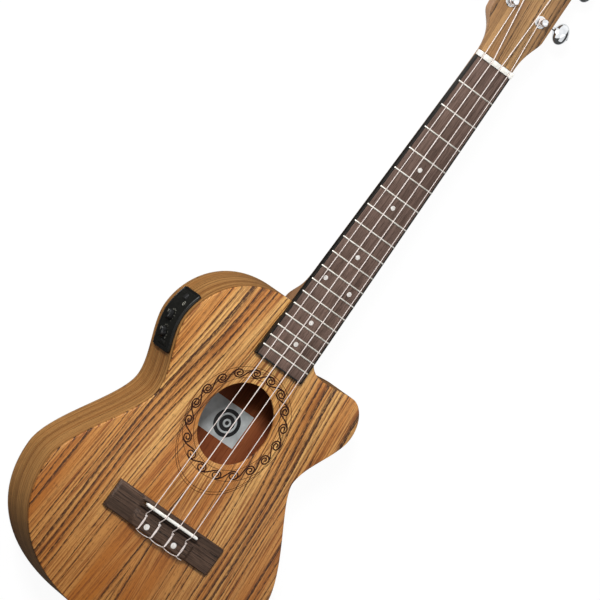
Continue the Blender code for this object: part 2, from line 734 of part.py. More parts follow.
def make_tuner(number, side, x, u, head):
    """One geared tuner: its case and bushing, its post and its button."""
    post_empty = bpy.data.objects.new(f"post_axis_{number}", None)
    post_empty.location = (x, u, 0)
    button_empty = bpy.data.objects.new(f"button_axis_{number}", None)
    button_empty.location = (x, u + WORM_U, AXLE_W)
    for empty in (post_empty, button_empty):
        empty.parent = head
        empty.empty_display_size = 0.01
        bpy.context.scene.collection.objects.link(empty)

    low = CASE_TOP_W - CASE_DEPTH
    around_gear = GEAR_RADIUS + GAP + CASE_WALL
    inner, outer = sorted((-side * around_gear, side * CASE_OUTER_X))
    case = brick(
        f"tuner_case_{number}",
        (inner, -around_gear, low),
        (outer, WORM_U + WORM_RADIUS + GAP + CASE_WALL, CASE_TOP_W),
        "chrome",
        post_empty,
    )
    bevel = case.modifiers.new("soft edges", "BEVEL")
    bevel.width = CASE_WALL * 0.9
    bevel.segments = 2
    collar_low = VENEER_TOP_W + GAP
    collar_top = collar_low + COLLAR_THICKNESS
    bushing = turned(
        f"bushing_{number}",
        [
            (0, low + CASE_WALL),
            (BUSHING_RADIUS, low + CASE_WALL),
            (BUSHING_RADIUS, collar_low),
            (COLLAR_RADIUS, collar_low),
            (COLLAR_RADIUS - GAP, collar_top),
            (0, collar_top),
        ],
        16,
        None,
        post_empty,
    )
    weld(case, bushing)
    gear_half = GEAR_THICKNESS / 2
    bore_bottom = low + CASE_WALL - GAP
    bore = turned(
        f"bore_cutter_{number}",
        [
            (0, bore_bottom),
            (POST_RADIUS + GAP, bore_bottom),
            (POST_RADIUS + GAP, AXLE_W - gear_half - GAP),
            (GEAR_RADIUS + GAP, AXLE_W - gear_half - GAP),
            (GEAR_RADIUS + GAP, AXLE_W + gear_half + GAP),
            (POST_RADIUS + GAP, AXLE_W + gear_half + GAP),
            (POST_RADIUS + GAP, collar_top + WALL),
            (0, collar_top + WALL),
        ],
        16,
        None,
        post_empty,
    )
    worm_reach = GEAR_RADIUS
    worm_bore = rod(
        f"worm_cutter_{number}",
        (-side * (worm_reach + GAP), WORM_U, AXLE_W),
        (side * (CASE_OUTER_X + WALL), WORM_U, AXLE_W),
        WORM_RADIUS + GAP,
        parent=post_empty,
    )
    cut(case, bore, worm_bore)

    post_low = bore_bottom + GAP
    turned(
        f"tuner_post_{number}",
        [
            (0, post_low),
            (POST_RADIUS, post_low),
            (POST_RADIUS, AXLE_W - gear_half),
            (GEAR_RADIUS, AXLE_W - gear_half),
            (GEAR_RADIUS, AXLE_W + gear_half),
            (POST_RADIUS, AXLE_W + gear_half),
            (POST_RADIUS, POST_HEIGHT - POST_CAP_HEIGHT),
            (POST_CAP_RADIUS, POST_HEIGHT - POST_CAP_HEIGHT + GAP),
            (POST_CAP_RADIUS, POST_HEIGHT - GAP),
            (0, POST_HEIGHT),
        ],
        14,
        "chrome",
        post_empty,
    )

    stations = [
        (-worm_reach, WORM_RADIUS, WORM_RADIUS),
        (worm_reach, WORM_RADIUS, WORM_RADIUS),
        (worm_reach + GAP, SHAFT_RADIUS, SHAFT_RADIUS),
        (BUTTON_X - BUTTON_HALF_LENGTH - SHAFT_RADIUS, SHAFT_RADIUS, SHAFT_RADIUS),
        (BUTTON_X - BUTTON_HALF_LENGTH, SHAFT_RADIUS * 1.5, SHAFT_RADIUS * 1.3),
    ]
    for share in (-0.85, -0.6, -0.2, 0.2, 0.6, 0.85, 0.97):
        swell = math.sqrt(1 - share * share)
        wide = BUTTON_HALF_WIDTH * swell
        stations.append((BUTTON_X + share * BUTTON_HALF_LENGTH, wide, BUTTON_HALF_THICKNESS * swell))
    rings = []
    for along, wide, thick in stations:
        ring = []
        for i in range(12):
            angle = math.tau * i / 12
            ring.append((side * along, wide * math.cos(angle), thick * math.sin(angle)))
        rings.append(ring)
    button = loft(f"tuner_button_{number}", rings, "chrome", button_empty)
    round_off(button)

    hole = rod(
        f"peg_hole_cutter_{number}",
        (0, 0, CASE_TOP_W - GAP),
        (0, 0, VENEER_TOP_W + GAP),
        BUSHING_RADIUS + GAP,
        parent=post_empty,
    )
    return hole


def make_head_and_tuners():
    """The neck, the head's veneer and the four tuners that pass through them."""
    head = bpy.data.objects.new("head_plane", None)
    head.matrix_world = HEAD
    head.empty_display_size = 0.02
    bpy.context.scene.collection.objects.link(head)
    neck = make_neck()
    veneer = make_head_veneer(head)
    for number, side, x, u in post_places():
        hole = make_tuner(number, side, x, u, head)
        cut(neck, hole)
        cut(veneer, hole)


# ---- Strings ------------------------------------------------------------------------------
def arc(centre, radius, start, end, steps):
    """Points in the y-z plane on an arc, both ends included."""
    points = []
    for i in range(steps + 1):
        angle = start + (end - start) * i / steps
        points.append((centre[0] + radius * math.cos(angle), centre[1] + radius * math.sin(angle)))
    return points


def string_route(name, number, side, post_x, post_u):
    """A string from its loop on the tie block, over saddle and nut, to its turns on the post."""
    radius = STRING_DIAMETERS[name] / 2
    clear = radius + GAP
    saddle_x = string_places(SADDLE_SPREAD)[name]
    nut_x = string_places(NUT_SPREAD)[name]
    hole_z = BRIDGE_TOP - TIE_HOLE_DEPTH

    loop = [(TIE_END_Y, BRIDGE_TOP + clear)]
    loop += arc((BRIDGE_REAR, BRIDGE_TOP), clear, math.pi / 2, math.pi, 3)
    loop += arc((BRIDGE_REAR, hole_z + clear), clear, math.pi, 1.5 * math.pi, 3)
    loop.append((TRENCH_REAR + clear, hole_z))
    saddle_z = SADDLE_TOP + clear
    loop.append((SADDLE_Y - SADDLE_THICKNESS / 2, saddle_z))
    route = [Vector((saddle_x, y, z)) for y, z in loop]

    nut_z = NUT_SLOT_FLOOR + clear
    saddle_end = Vector((saddle_x, SADDLE_Y + SADDLE_THICKNESS / 2, saddle_z))
    nut_end = Vector((nut_x, NUT_FRONT_Y, nut_z))
    route += [saddle_end, (saddle_end + nut_end) / 2, nut_end]
    leave = Vector((nut_x, NUT_BACK_Y, nut_z))
    route.append(leave)

    to_head = HEAD.inverted() @ leave
    around = POST_RADIUS + clear
    away = Vector((to_head.x - post_x, to_head.y - post_u))
    turn = -side
    angle = math.atan2(away.y, away.x) + turn * math.acos(around / away.length)
    pitch = 2 * radius + GAP
    steps = 10
    for i in range(int(WIND_TURNS * steps) + 1):
        bearing = angle + turn * math.tau * i / steps
        x = post_x + around * math.cos(bearing)
        u = post_u + around * math.sin(bearing)
        route.append(HEAD @ Vector((x, u, WIND_START_W - pitch * i / steps)))
    return route


def make_strings():
    """The four strings, each wound on its own post."""
    for name, (number, side, x, u) in zip(STRING_DIAMETERS, post_places()):
        route = string_route(name, number, side, x, u)
        curve = bpy.data.curves.new("string_" + name, "CURVE")
        curve.dimensions = "3D"
        curve.bevel_depth = STRING_DIAMETERS[name] / 2
        curve.bevel_resolution = 1
        curve.use_fill_caps = True
        spline = curve.splines.new("POLY")
        spline.points.add(len(route) - 1)
        for point, place in zip(spline.points, route):
            point.co = (*place, 1)
        curve.materials.append(material("nylon", *FINISHES["nylon"]))
        made = bpy.data.objects.new("string_" + name, curve)
        bpy.context.scene.collection.objects.link(made)


# ---- Pickup panel -------------------------------------------------------------------------
FINE_OUTLINE, FINE_PLACES = body_outline(8)
BASS_RIM = FINE_OUTLINE[FINE_PLACES[9] : FINE_PLACES[11] + 1]


def rim_frame(y):
    """A matrix at the bass rim's place y: X along the rim to the head, Y up, Z outwards."""
    here = next(i for i in range(len(BASS_RIM) - 1) if BASS_RIM[i + 1].y <= y <= BASS_RIM[i].y)
    upper, lower = BASS_RIM[here], BASS_RIM[here + 1]
    share = (upper.y - y) / (upper.y - lower.y)
    point = upper + (lower - upper) * share
    before, after = BASS_RIM[max(here - 2, 0)], BASS_RIM[here + 3]
    along = (before - after).normalized()
    frame = Matrix.Identity(4)
    frame.col[0] = (along.x, along.y, 0, 0)
    frame.col[1] = (0, 0, 1, 0)
    frame.col[2] = (-along.y, along.x, 0, 0)
    frame.col[3] = (point.x, point.y, PANEL_MIDDLE, 1)
    return frame


def rim_point(y, out, height):
    """A point at the bass rim's place y, out from its face and up from the panel's middle."""
    return rim_frame(y) @ Vector((0, height, out))


def curved_plate(name, finish):
    """A plate with round corners that follows the bass rim."""
    half = (PLATE_HIGH - PLATE_LOW) / 2
    length = PLATE_TO_Y - PLATE_FROM_Y
    corner = [PLATE_CORNER * (1 - math.cos(math.pi / 2 * i / 4)) for i in range(5)]
    steps = 12
    inner = [PLATE_CORNER + (length - 2 * PLATE_CORNER) * i / steps for i in range(1, steps)]
    stations = corner + inner + [length - share for share in corner[::-1]]
    rings = []
    for along in stations:
        into = max(PLATE_CORNER - along, along - (length - PLATE_CORNER), 0)
        drop = PLATE_CORNER - math.sqrt(max(PLATE_CORNER**2 - into**2, 0))
        y = PLATE_FROM_Y + along
        high = half - drop
        corners = ((GAP, -high), (PLATE_PROUD, -high), (PLATE_PROUD, high), (GAP, high))
        rings.append([rim_point(y, out, height) for out, height in corners])
    return loft(name, rings, finish)


def axis_empty(name, y):
    """An empty on the rim at y, its Z axis pointing out of the panel."""
    empty = bpy.data.objects.new(name, None)
    empty.matrix_world = rim_frame(y)
    empty.empty_display_size = 0.01
    bpy.context.scene.collection.objects.link(empty)
    return empty


def make_knob(name, y, plate, housing):
    """A knob on its shaft, and the holes that it needs in the plate and the housing."""
    axis = axis_empty(name + "_axis", y)
    low = PLATE_PROUD + GAP
    turned(
        name,
        [
            (0, -KNOB_SHAFT_LENGTH),
            (KNOB_SHAFT_RADIUS, -KNOB_SHAFT_LENGTH),
            (KNOB_SHAFT_RADIUS, low),
            (KNOB_RADIUS, low),
            (KNOB_RADIUS, low + KNOB_HEIGHT * 0.85),
            (KNOB_RADIUS * 0.88, low + KNOB_HEIGHT),
            (0, low + KNOB_HEIGHT),
        ],
        20,
        "black ABS",
        axis,
    )
    hole = rod(
        name + "_hole_cutter",
        (0, 0, -KNOB_SHAFT_LENGTH - GAP),
        (0, 0, PLATE_PROUD + WALL),
        KNOB_SHAFT_RADIUS + GAP,
        parent=axis,
    )
    cut(plate, hole)
    cut(housing, hole)


def make_power_button(plate, housing):
    """The square push button. Its pocket is deep enough for its travel."""
    axis = axis_empty("power_button_axis", BUTTON_Y)
    half = POWER_BUTTON_SIZE / 2
    room = half + GAP
    low = -POWER_BUTTON_STEM
    high = PLATE_PROUD + POWER_BUTTON_PROUD
    brick("power_button", (-half, -half, low), (half, half, high), "black rubber", axis)
    pocket = brick(
        "power_button_cutter",
        (-room, -room, low - POWER_BUTTON_TRAVEL - GAP),
        (room, room, high + WALL),
        parent=axis,
    )
    cut(plate, pocket)
    cut(housing, pocket)


def make_battery_tray(plate, housing):
    """The drawer for two coin cells. Its face lies flush with the plate."""
    axis = axis_empty("battery_tray_axis", TRAY_Y)
    across, up = TRAY_THICKNESS / 2, TRAY_HEIGHT / 2
    tray = brick("battery_tray", (-across, -up, -TRAY_LENGTH), (across, up, PLATE_PROUD), "black ABS", axis)
    well = across - 0.0006
    cell = rod(
        "cell_cutter",
        (-well, 0, -TRAY_LENGTH / 2),
        (across + WALL, 0, -TRAY_LENGTH / 2),
        TRAY_LENGTH / 2 - 0.0013,
        20,
        axis,
    )
    cut(tray, cell)
    pocket = brick(
        "tray_cutter",
        (-across - GAP, -up - GAP, -TRAY_LENGTH - GAP),
        (across + GAP, up + GAP, PLATE_PROUD + WALL),
        parent=axis,
    )
    cut(plate, pocket)
    cut(housing, pocket)


def panel_outline(low_y, high_y, out, depth):
    """Seen from above: a front along the bass rim, out from it, and a straight back, depth inside."""
    steps = 12
    front = [rim_point(low_y + (high_y - low_y) * i / steps, out, 0).xy for i in range(steps + 1)]
    middle = rim_frame((low_y + high_y) / 2)
    inward = -middle.col[2].xy
    back = []
    for corner in (front[-1], front[0]):
        distance = depth - (corner - middle.col[3].xy).dot(inward)
        back.append(corner + inward * distance)
    return front + back


def make_pickup(side_bass):
    """The preamp behind its plate in the bass side."""
    low_y, high_y = PLATE_FROM_Y + CUT_MARGIN_Y, PLATE_TO_Y - CUT_MARGIN_Y
    low, high = PLATE_LOW + CUT_MARGIN_Z, PLATE_HIGH - CUT_MARGIN_Z
    opening = panel_outline(low_y, high_y, WALL, HOUSING_DEPTH)
    cut(side_bass, prism("panel_cutter", opening, low, high, None))

    plate = curved_plate("preamp_plate", "black ABS")
    body = panel_outline(low_y + 2 * GAP, high_y - 2 * GAP, 0, HOUSING_DEPTH)
    housing = prism("preamp_housing", body, low + GAP, high - GAP, "black ABS")
    make_knob("knob_volume", VOLUME_KNOB_Y, plate, housing)
    make_knob("knob_tone", TONE_KNOB_Y, plate, housing)
    make_power_button(plate, housing)
    make_battery_tray(plate, housing)


def make_jack_cutter():
    """The hole for the output jack through both sides and the tail block."""
    start = (0, -TAIL_REACH - WALL, JACK_HEIGHT)
    end = (0, -TAIL_REACH + WALL + TAIL_BLOCK_THICKNESS + WALL, JACK_HEIGHT)
    tool = rod("jack_cutter", start, end, JACK_SLEEVE_RADIUS + GAP)
    tool.hide_render = True


def make_output_jack():
    """The jack in the tail: a sleeve with a flange outside, and a socket open to the rear."""
    flange = -GAP - JACK_FLANGE_THICKNESS
    nose = flange - JACK_NOSE
    jack = turned(
        "output_jack",
        [
            (JACK_SOCKET_RADIUS, nose),
            (JACK_SLEEVE_RADIUS, nose),
            (JACK_SLEEVE_RADIUS, flange),
            (JACK_FLANGE_RADIUS - GAP, flange),
            (JACK_FLANGE_RADIUS, -2 * GAP),
            (JACK_SLEEVE_RADIUS, -2 * GAP),
            (JACK_SLEEVE_RADIUS, JACK_LENGTH),
            (0, JACK_LENGTH),
            (0, JACK_LENGTH - JACK_END_WALL),
            (JACK_SOCKET_RADIUS, JACK_LENGTH - JACK_END_WALL),
            (JACK_SOCKET_RADIUS, nose),
        ],
        16,
        "chrome",
    )
    jack.rotation_euler = (-math.pi / 2, 0, 0)
    jack.location = (0, -TAIL_REACH, JACK_HEIGHT)


# ---- Everything ---------------------------------------------------------------------------
def main():
    for thing in list(bpy.data.objects):
        bpy.data.objects.remove(thing)
    make_jack_cutter()
    make_boards()
    side_bass = make_sides()[1]
    make_linings()
    make_blocks()
    make_bracing()
    make_bridge()
    make_fretboard()
    make_frets()
    make_nut()
    make_head_and_tuners()
    make_strings()
    make_pickup(side_bass)
    make_output_jack()


main()
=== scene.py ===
# %% [markdown]
# # A tenor ukulele on its back
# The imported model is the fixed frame: it gives every place and every moving body. This file
# adds what the eye looks for, the wood, the plating, the soft edges and the small fittings.
# It is read from top to bottom: first the tools, then the finishes, then each piece.

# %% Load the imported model
import json
import math

import bpy
from mathutils import Matrix, Vector


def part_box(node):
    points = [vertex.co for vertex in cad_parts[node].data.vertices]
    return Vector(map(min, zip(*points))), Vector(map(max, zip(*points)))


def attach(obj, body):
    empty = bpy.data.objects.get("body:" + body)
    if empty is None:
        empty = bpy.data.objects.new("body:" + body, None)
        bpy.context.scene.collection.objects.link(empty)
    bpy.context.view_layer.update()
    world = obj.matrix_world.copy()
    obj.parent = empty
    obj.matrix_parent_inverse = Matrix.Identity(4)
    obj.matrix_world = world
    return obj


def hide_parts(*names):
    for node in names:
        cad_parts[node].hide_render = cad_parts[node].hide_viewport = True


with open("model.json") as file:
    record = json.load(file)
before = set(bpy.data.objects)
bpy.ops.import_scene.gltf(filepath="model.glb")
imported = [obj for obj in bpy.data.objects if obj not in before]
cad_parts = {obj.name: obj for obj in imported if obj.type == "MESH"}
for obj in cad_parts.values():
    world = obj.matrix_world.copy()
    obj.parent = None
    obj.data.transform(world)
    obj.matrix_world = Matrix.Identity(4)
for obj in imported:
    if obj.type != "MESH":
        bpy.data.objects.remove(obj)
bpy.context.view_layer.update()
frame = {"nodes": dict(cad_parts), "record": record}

# %% [markdown]
# ## Sizes that the new pieces share with the solids
# The frame can't be asked for an outline, so the few sizes that shape it are written here
# again, in metres. Anything that a solid's box can tell is read from the box instead. HEAD
# turns the tilted head's own axes, Y up the head and Z out of its face, into the frame's.

# %% Shared sizes
MM = 0.001
GAP = 0.3 * MM
SCALE_LENGTH = 430 * MM
JOINT_Y = SCALE_LENGTH * 2 ** (-14 / 12)
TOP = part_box("soundboard")[1].z
BOARD_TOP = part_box("fretboard")[1].z
BRIDGE_TOP = 60 * MM
NECK_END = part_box("nut")[1].y + GAP
HEAD = Matrix.Translation((0, NECK_END, TOP)) @ Matrix.Rotation(math.radians(-10), 4, "X")
HEAD_FACE = 1.8 * MM
HEAD_THICK = 10 * MM
print("head starts at y =", round(NECK_END, 4))


# %% [markdown]
# ## The body's outline
# A luthier bends the sides round a mould. The mould here is a chain of Bezier arcs through
# thirteen knots: each has a place, a direction, how far in millimetres the curve keeps that
# direction before and after it, and the number of steps to the next knot. More steps on
# each arc give a smoother rim than the solids have.

# %% Outline
JOINT = JOINT_Y / MM
KNOTS = [
    ((0, -100), (1, 0), 68, 68, 8),
    ((112, -16), (0, 1), 54, 29.5, 8),
    ((69.7, 76), (0, 1), 16.8, 18, 6),
    ((88.1, 131), (0, 1), 18, 14, 6),
    ((69, 157), (-1, -0.05), 10, 10, 4),
    ((40.5, 154.3), (-1, 0), 10, 9.5, 6),
    ((22.5, 172), (0, 1), 13.7, 0, 1),
    ((22.5, JOINT), (-1, 0), 0, 0, 1),
    ((0, JOINT), (-1, 0), 0, 0, 1),
    ((-20, JOINT), (-1, 0), 0, 45, 9),
    ((-85.9, 133), (0, -1), 27, 18, 6),
    ((-69.7, 76), (0, -1), 18, 22.5, 8),
    ((-112, -16), (0, -1), 27.5, 54, 8),
]


def arc_points(start, near, far, end, steps):
    """Points of one Bezier arc, without its end."""
    points = []
    for i in range(steps):
        t = i / steps
        a, b, c, d = (1 - t) ** 3, 3 * t * (1 - t) ** 2, 3 * t * t * (1 - t), t**3
        points.append(start * a + near * b + far * c + end * d)
    return points


def body_outline(fineness):
    """The outline in metres, anticlockwise from the tail, and where each knot is in it."""
    points, places = [], []
    for knot, after in zip(KNOTS, KNOTS[1:] + KNOTS[:1]):
        start, end = Vector(knot[0]) * MM, Vector(after[0]) * MM
        near = start + Vector(knot[1]) * knot[3] * MM
        far = end - Vector(after[1]) * after[2] * MM
        places.append(len(points))
        points += arc_points(start, near, far, end, knot[4] * fineness if knot[4] > 1 else 1)
    return points, places


RIM, RIM_PLACES = body_outline(5)
print(len(RIM), "points round the body")


# %% [markdown]
# ## Selecting
# Blender's operators act on whatever is selected, and the loaded solids are selected. So each
# tool first lets go of everything.

# %% Selecting
def let_go():
    """Leaves edit mode and selects nothing."""
    if bpy.context.mode != "OBJECT":
        bpy.ops.object.mode_set(mode="OBJECT")
    bpy.ops.object.select_all(action="DESELECT")


def take(piece):
    """Makes one piece the only selected and active one."""
    let_go()
    bpy.context.view_layer.objects.active = piece
    piece.select_set(True)
    return piece


def outwards(piece):
    """Turns all faces of a closed piece outwards."""
    take(piece)
    bpy.ops.object.mode_set(mode="EDIT")
    bpy.ops.mesh.select_all(action="SELECT")
    bpy.ops.mesh.normals_make_consistent(inside=False)
    bpy.ops.object.mode_set(mode="OBJECT")
    return piece


print("tools: let_go, take, outwards")


# %% [markdown]
# ## Modifiers
# A modifier is a step that can still be changed. Here each one is applied at once, so that
# the next tool meets plain faces. Bevel eases an edge, and Boolean cuts a hole.

# %% Modifiers
def change(piece, kind, **settings):
    """Adds a modifier, sets it and applies it."""
    take(piece)
    made = piece.modifiers.new(kind.lower(), kind)
    for key, value in settings.items():
        setattr(made, key, value)
    bpy.ops.object.modifier_apply(modifier=made.name)
    return piece


def ease(piece, width, segments=2, angle=40):
    """Rounds the sharp edges a little, as sanding or a mould does."""
    return change(
        piece, "BEVEL", width=width, segments=segments, limit_method="ANGLE",
        angle_limit=math.radians(angle), use_clamp_overlap=True,
    )


def cut(piece, *tools):
    """Takes the tools' shapes out of the piece and throws the tools away."""
    for tool in tools:
        change(piece, "BOOLEAN", operation="DIFFERENCE", solver="EXACT", object=tool)
        bpy.data.objects.remove(tool)
    return piece


print("tools: change, ease, cut")


# %% [markdown]
# ## Placing, copying and joining
# A finished object has to stay at the origin, so a piece is moved by moving its mesh. A
# mirrored mesh comes out inside out, and its faces are turned outwards again.

# %% Placing
def place(piece, matrix):
    """Moves the mesh itself, so that the object stays at the origin."""
    piece.data.transform(matrix)
    return outwards(piece) if matrix.determinant() < 0 else piece


def copy_of(piece):
    """A second piece from the same pattern, with its own mesh."""
    made = bpy.data.objects.new(piece.name + "_copy", piece.data.copy())
    bpy.context.scene.collection.objects.link(made)
    return made


def join(*pieces):
    """Several shapes as one piece."""
    take(pieces[0])
    for piece in pieces:
        piece.select_set(True)
    bpy.ops.object.join()
    return pieces[0]


print("tools: place, copy_of, join")


# %% [markdown]
# ## Settling
# The last step for every piece: it gets its name and its finish, is shaded smooth where its
# faces nearly agree, and is tied to the body that carries it. It may stand for a solid,
# which is then hidden.

# %% Settling
def settle(piece, name, finish, body="root", stands_for=(), smooth=35):
    """Names a finished piece, gives it its finish, and lets the body that carries it take it along."""
    take(piece)
    bpy.ops.object.transform_apply(location=True, rotation=True, scale=True)
    piece.name = piece.data.name = name
    piece.data.materials.clear()
    piece.data.materials.append(finish)
    for face in piece.data.polygons:
        face.material_index = 0
    bpy.ops.object.shade_smooth_by_angle(angle=math.radians(smooth))
    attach(piece, body)
    if stands_for:
        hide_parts(*stands_for)
    return piece


print("tool: settle")


# %% [markdown]
# ## Lofted blanks
# A blank is a primitive that is roughly right and is then shaped. A disc extruded ring by
# ring becomes any round or lofted piece, and with only two rings a board.

# %% Lofted blanks
def lofted(rings):
    """A disc extruded once for each further ring, and then each ring laid on its points."""
    let_go()
    count = len(rings[0])
    bpy.ops.mesh.primitive_circle_add(vertices=count, radius=1, fill_type="NGON")
    piece = bpy.context.object
    bpy.ops.object.mode_set(mode="EDIT")
    for _ in rings[1:]:
        bpy.ops.mesh.extrude_region_move(TRANSFORM_OT_translate={"value": (0, 0, 1)})
    bpy.ops.object.mode_set(mode="OBJECT")
    for vertex in piece.data.vertices:
        turn = (math.atan2(vertex.co.y, vertex.co.x) - math.pi / 2) / math.tau
        vertex.co = rings[round(vertex.co.z)][round(turn * count) % count]
    return outwards(piece)


def board(outline, low, high):
    """A flat board: its outline at the low level and again at the high one."""
    return lofted([[(x, y, z) for x, y in outline] for z in (low, high)])


def turned(profile, sides=32, flute=0.0, flutes=1):
    """A lathe-turned piece about Z, from (radius, height) pairs. Flutes make its rim wavy."""
    rings = []
    for radius, height in profile:
        ring = []
        for i in range(sides):
            a = math.tau * i / sides
            r = radius - flute * (0.5 + 0.5 * math.cos(a * flutes))
            ring.append((r * math.cos(a), r * math.sin(a), height))
        rings.append(ring)
    return lofted(rings)


print("blanks: lofted, board, turned")


# %% [markdown]
# ## Blocks and rods
# A cube and a cylinder, added at their size and place. They are stock for small parts, and
# a rod is the drill for every round hole.

# %% Blocks and rods
def block(low, high):
    """A box between two corners."""
    let_go()
    low, high = Vector(low), Vector(high)
    bpy.ops.mesh.primitive_cube_add(size=1, location=(low + high) / 2)
    bpy.context.object.scale = [abs(v) for v in high - low]
    bpy.ops.object.transform_apply(location=True, rotation=True, scale=True)
    return bpy.context.object


def rod(start, end, radius, sides=32):
    """A round bar between two points."""
    let_go()
    start, end = Vector(start), Vector(end)
    bpy.ops.mesh.primitive_cylinder_add(vertices=sides, radius=radius, depth=(end - start).length)
    bar = bpy.context.object
    turn = Vector((0, 0, 1)).rotation_difference(end - start).to_matrix().to_4x4()
    return place(bar, Matrix.Translation((start + end) / 2) @ turn)


print("blanks: block, rod")


# %% [markdown]
# ## Eased copies and wires
# A copy of a solid, with its loose triangles joined into whole faces, can be bevelled and
# becomes an eased version of it. A wire is a curve with a round section, made a mesh.

# %% Eased copies and wires
def eased(node, width, segments=2):
    """A copy of a solid, its triangles joined into whole faces and its edges eased."""
    let_go()
    piece = bpy.data.objects.new(node + "_eased", frame["nodes"][node].data.copy())
    bpy.context.scene.collection.objects.link(piece)
    take(piece)
    bpy.ops.object.mode_set(mode="EDIT")
    bpy.ops.mesh.select_all(action="SELECT")
    bpy.ops.mesh.remove_doubles(threshold=1e-6)
    bpy.ops.mesh.dissolve_limited(angle_limit=math.radians(0.4))
    bpy.ops.object.mode_set(mode="OBJECT")
    return ease(piece, width, segments)


def wire(routes, thickness, closed=False, resolution=3):
    """Round wires along the given routes, as one mesh."""
    let_go()
    bpy.ops.curve.primitive_bezier_curve_add()
    curve = bpy.context.object.data
    curve.splines.clear()
    curve.dimensions = "3D"
    curve.bevel_depth = thickness / 2
    curve.bevel_resolution = resolution
    curve.use_fill_caps = True
    for route in routes:
        spline = curve.splines.new("POLY")
        spline.points.add(len(route) - 1)
        spline.use_cyclic_u = closed
        for point, at in zip(spline.points, route):
            point.co = (*at, 1)
    bpy.ops.object.convert(target="MESH")
    return bpy.context.object


print("blanks: eased, wire")


# %% [markdown]
# ## Colours and one function for shader nodes
# Colours are written as they look on a screen. Blender mixes light linearly, so each is
# turned to linear once, here. A material is a small net of nodes. One function adds a node
# and gives back its outputs, which can go straight into the next one's inputs.

# %% Colour and nodes
def tint(colour):
    """An sRGB hex colour as linear red, green, blue and a full alpha."""
    channels = [int(colour[i : i + 2], 16) / 255 for i in (0, 2, 4)]
    linear = [c / 12.92 if c <= 0.04045 else ((c + 0.055) / 1.055) ** 2.4 for c in channels]
    return (*linear, 1.0)


def add(tree, kind, inputs=(), stops=(), **options):
    """Adds a node. Inputs, by name or in the sockets' order, are plain values or outputs."""
    made = tree.nodes.new("ShaderNode" + kind)
    for key, value in options.items():
        setattr(made, key, value)
    for key, value in inputs.items() if isinstance(inputs, dict) else enumerate(inputs):
        if isinstance(value, bpy.types.NodeSocket):
            tree.links.new(value, made.inputs[key])
        else:
            made.inputs[key].default_value = value
    if stops:
        for stop, (at, colour) in zip(made.color_ramp.elements, stops):
            stop.position, stop.color = at, tint(colour)
    return made.outputs


def new_finish(name, **values):
    """A material with its one shader. Values are the shader's own sockets."""
    made = bpy.data.materials.new(name)
    made.use_nodes = True
    shader = made.node_tree.nodes["Principled BSDF"]
    for key, value in values.items():
        shader.inputs[key.replace("_", " ")].default_value = value
    return made, made.node_tree, shader


print("colours ready")


# %% [markdown]
# ## Wood
# Wood is drawn as it grows. Its growth rings cut the board in dark lines: each ring ends in
# a hard edge of dense late wood and fades on its other side, and no two rings are equally
# strong. A slow drift bends the lines, a quick one frays their edges. Between them lie
# zones of colour, a fine brown figure, and the short pores. Every noise is stretched along
# the grain, and its scale is the size of one feature across and along it in millimetres.
#
# `lay` names the axes that run across the grain: "x" for a board whose grain runs along y.
# `book` is for a book-matched board, whose two halves were sawn from one plank and opened
# like a book: the place of its seam in mm, by how many degrees the grain leans from it, and
# how far from the seam the plank's own middle lies. `painted_tail_shade` is painted shade: a
# darker, redder colour laid over the wood towards the tail, and its share there.

# %% Wood recipe
# The pores that break up a line are so many mm wide and long. The painted shade towards the
# tail fades out between these two places along the board, in mm. A ring's second random draw
# is taken this far from its first.
TICK = (0.8, 4)
TAIL_SHADE_LOW, TAIL_SHADE_HIGH = -70, 100
SECOND_DRAW = 71.3
# The Mix node has sockets for each kind of value. These are its colours, and its numbers.
MIX_UNDER, MIX_OVER, MIX_COLOUR = 6, 7, 2
MIX_FIRST, MIX_SECOND = 2, 3


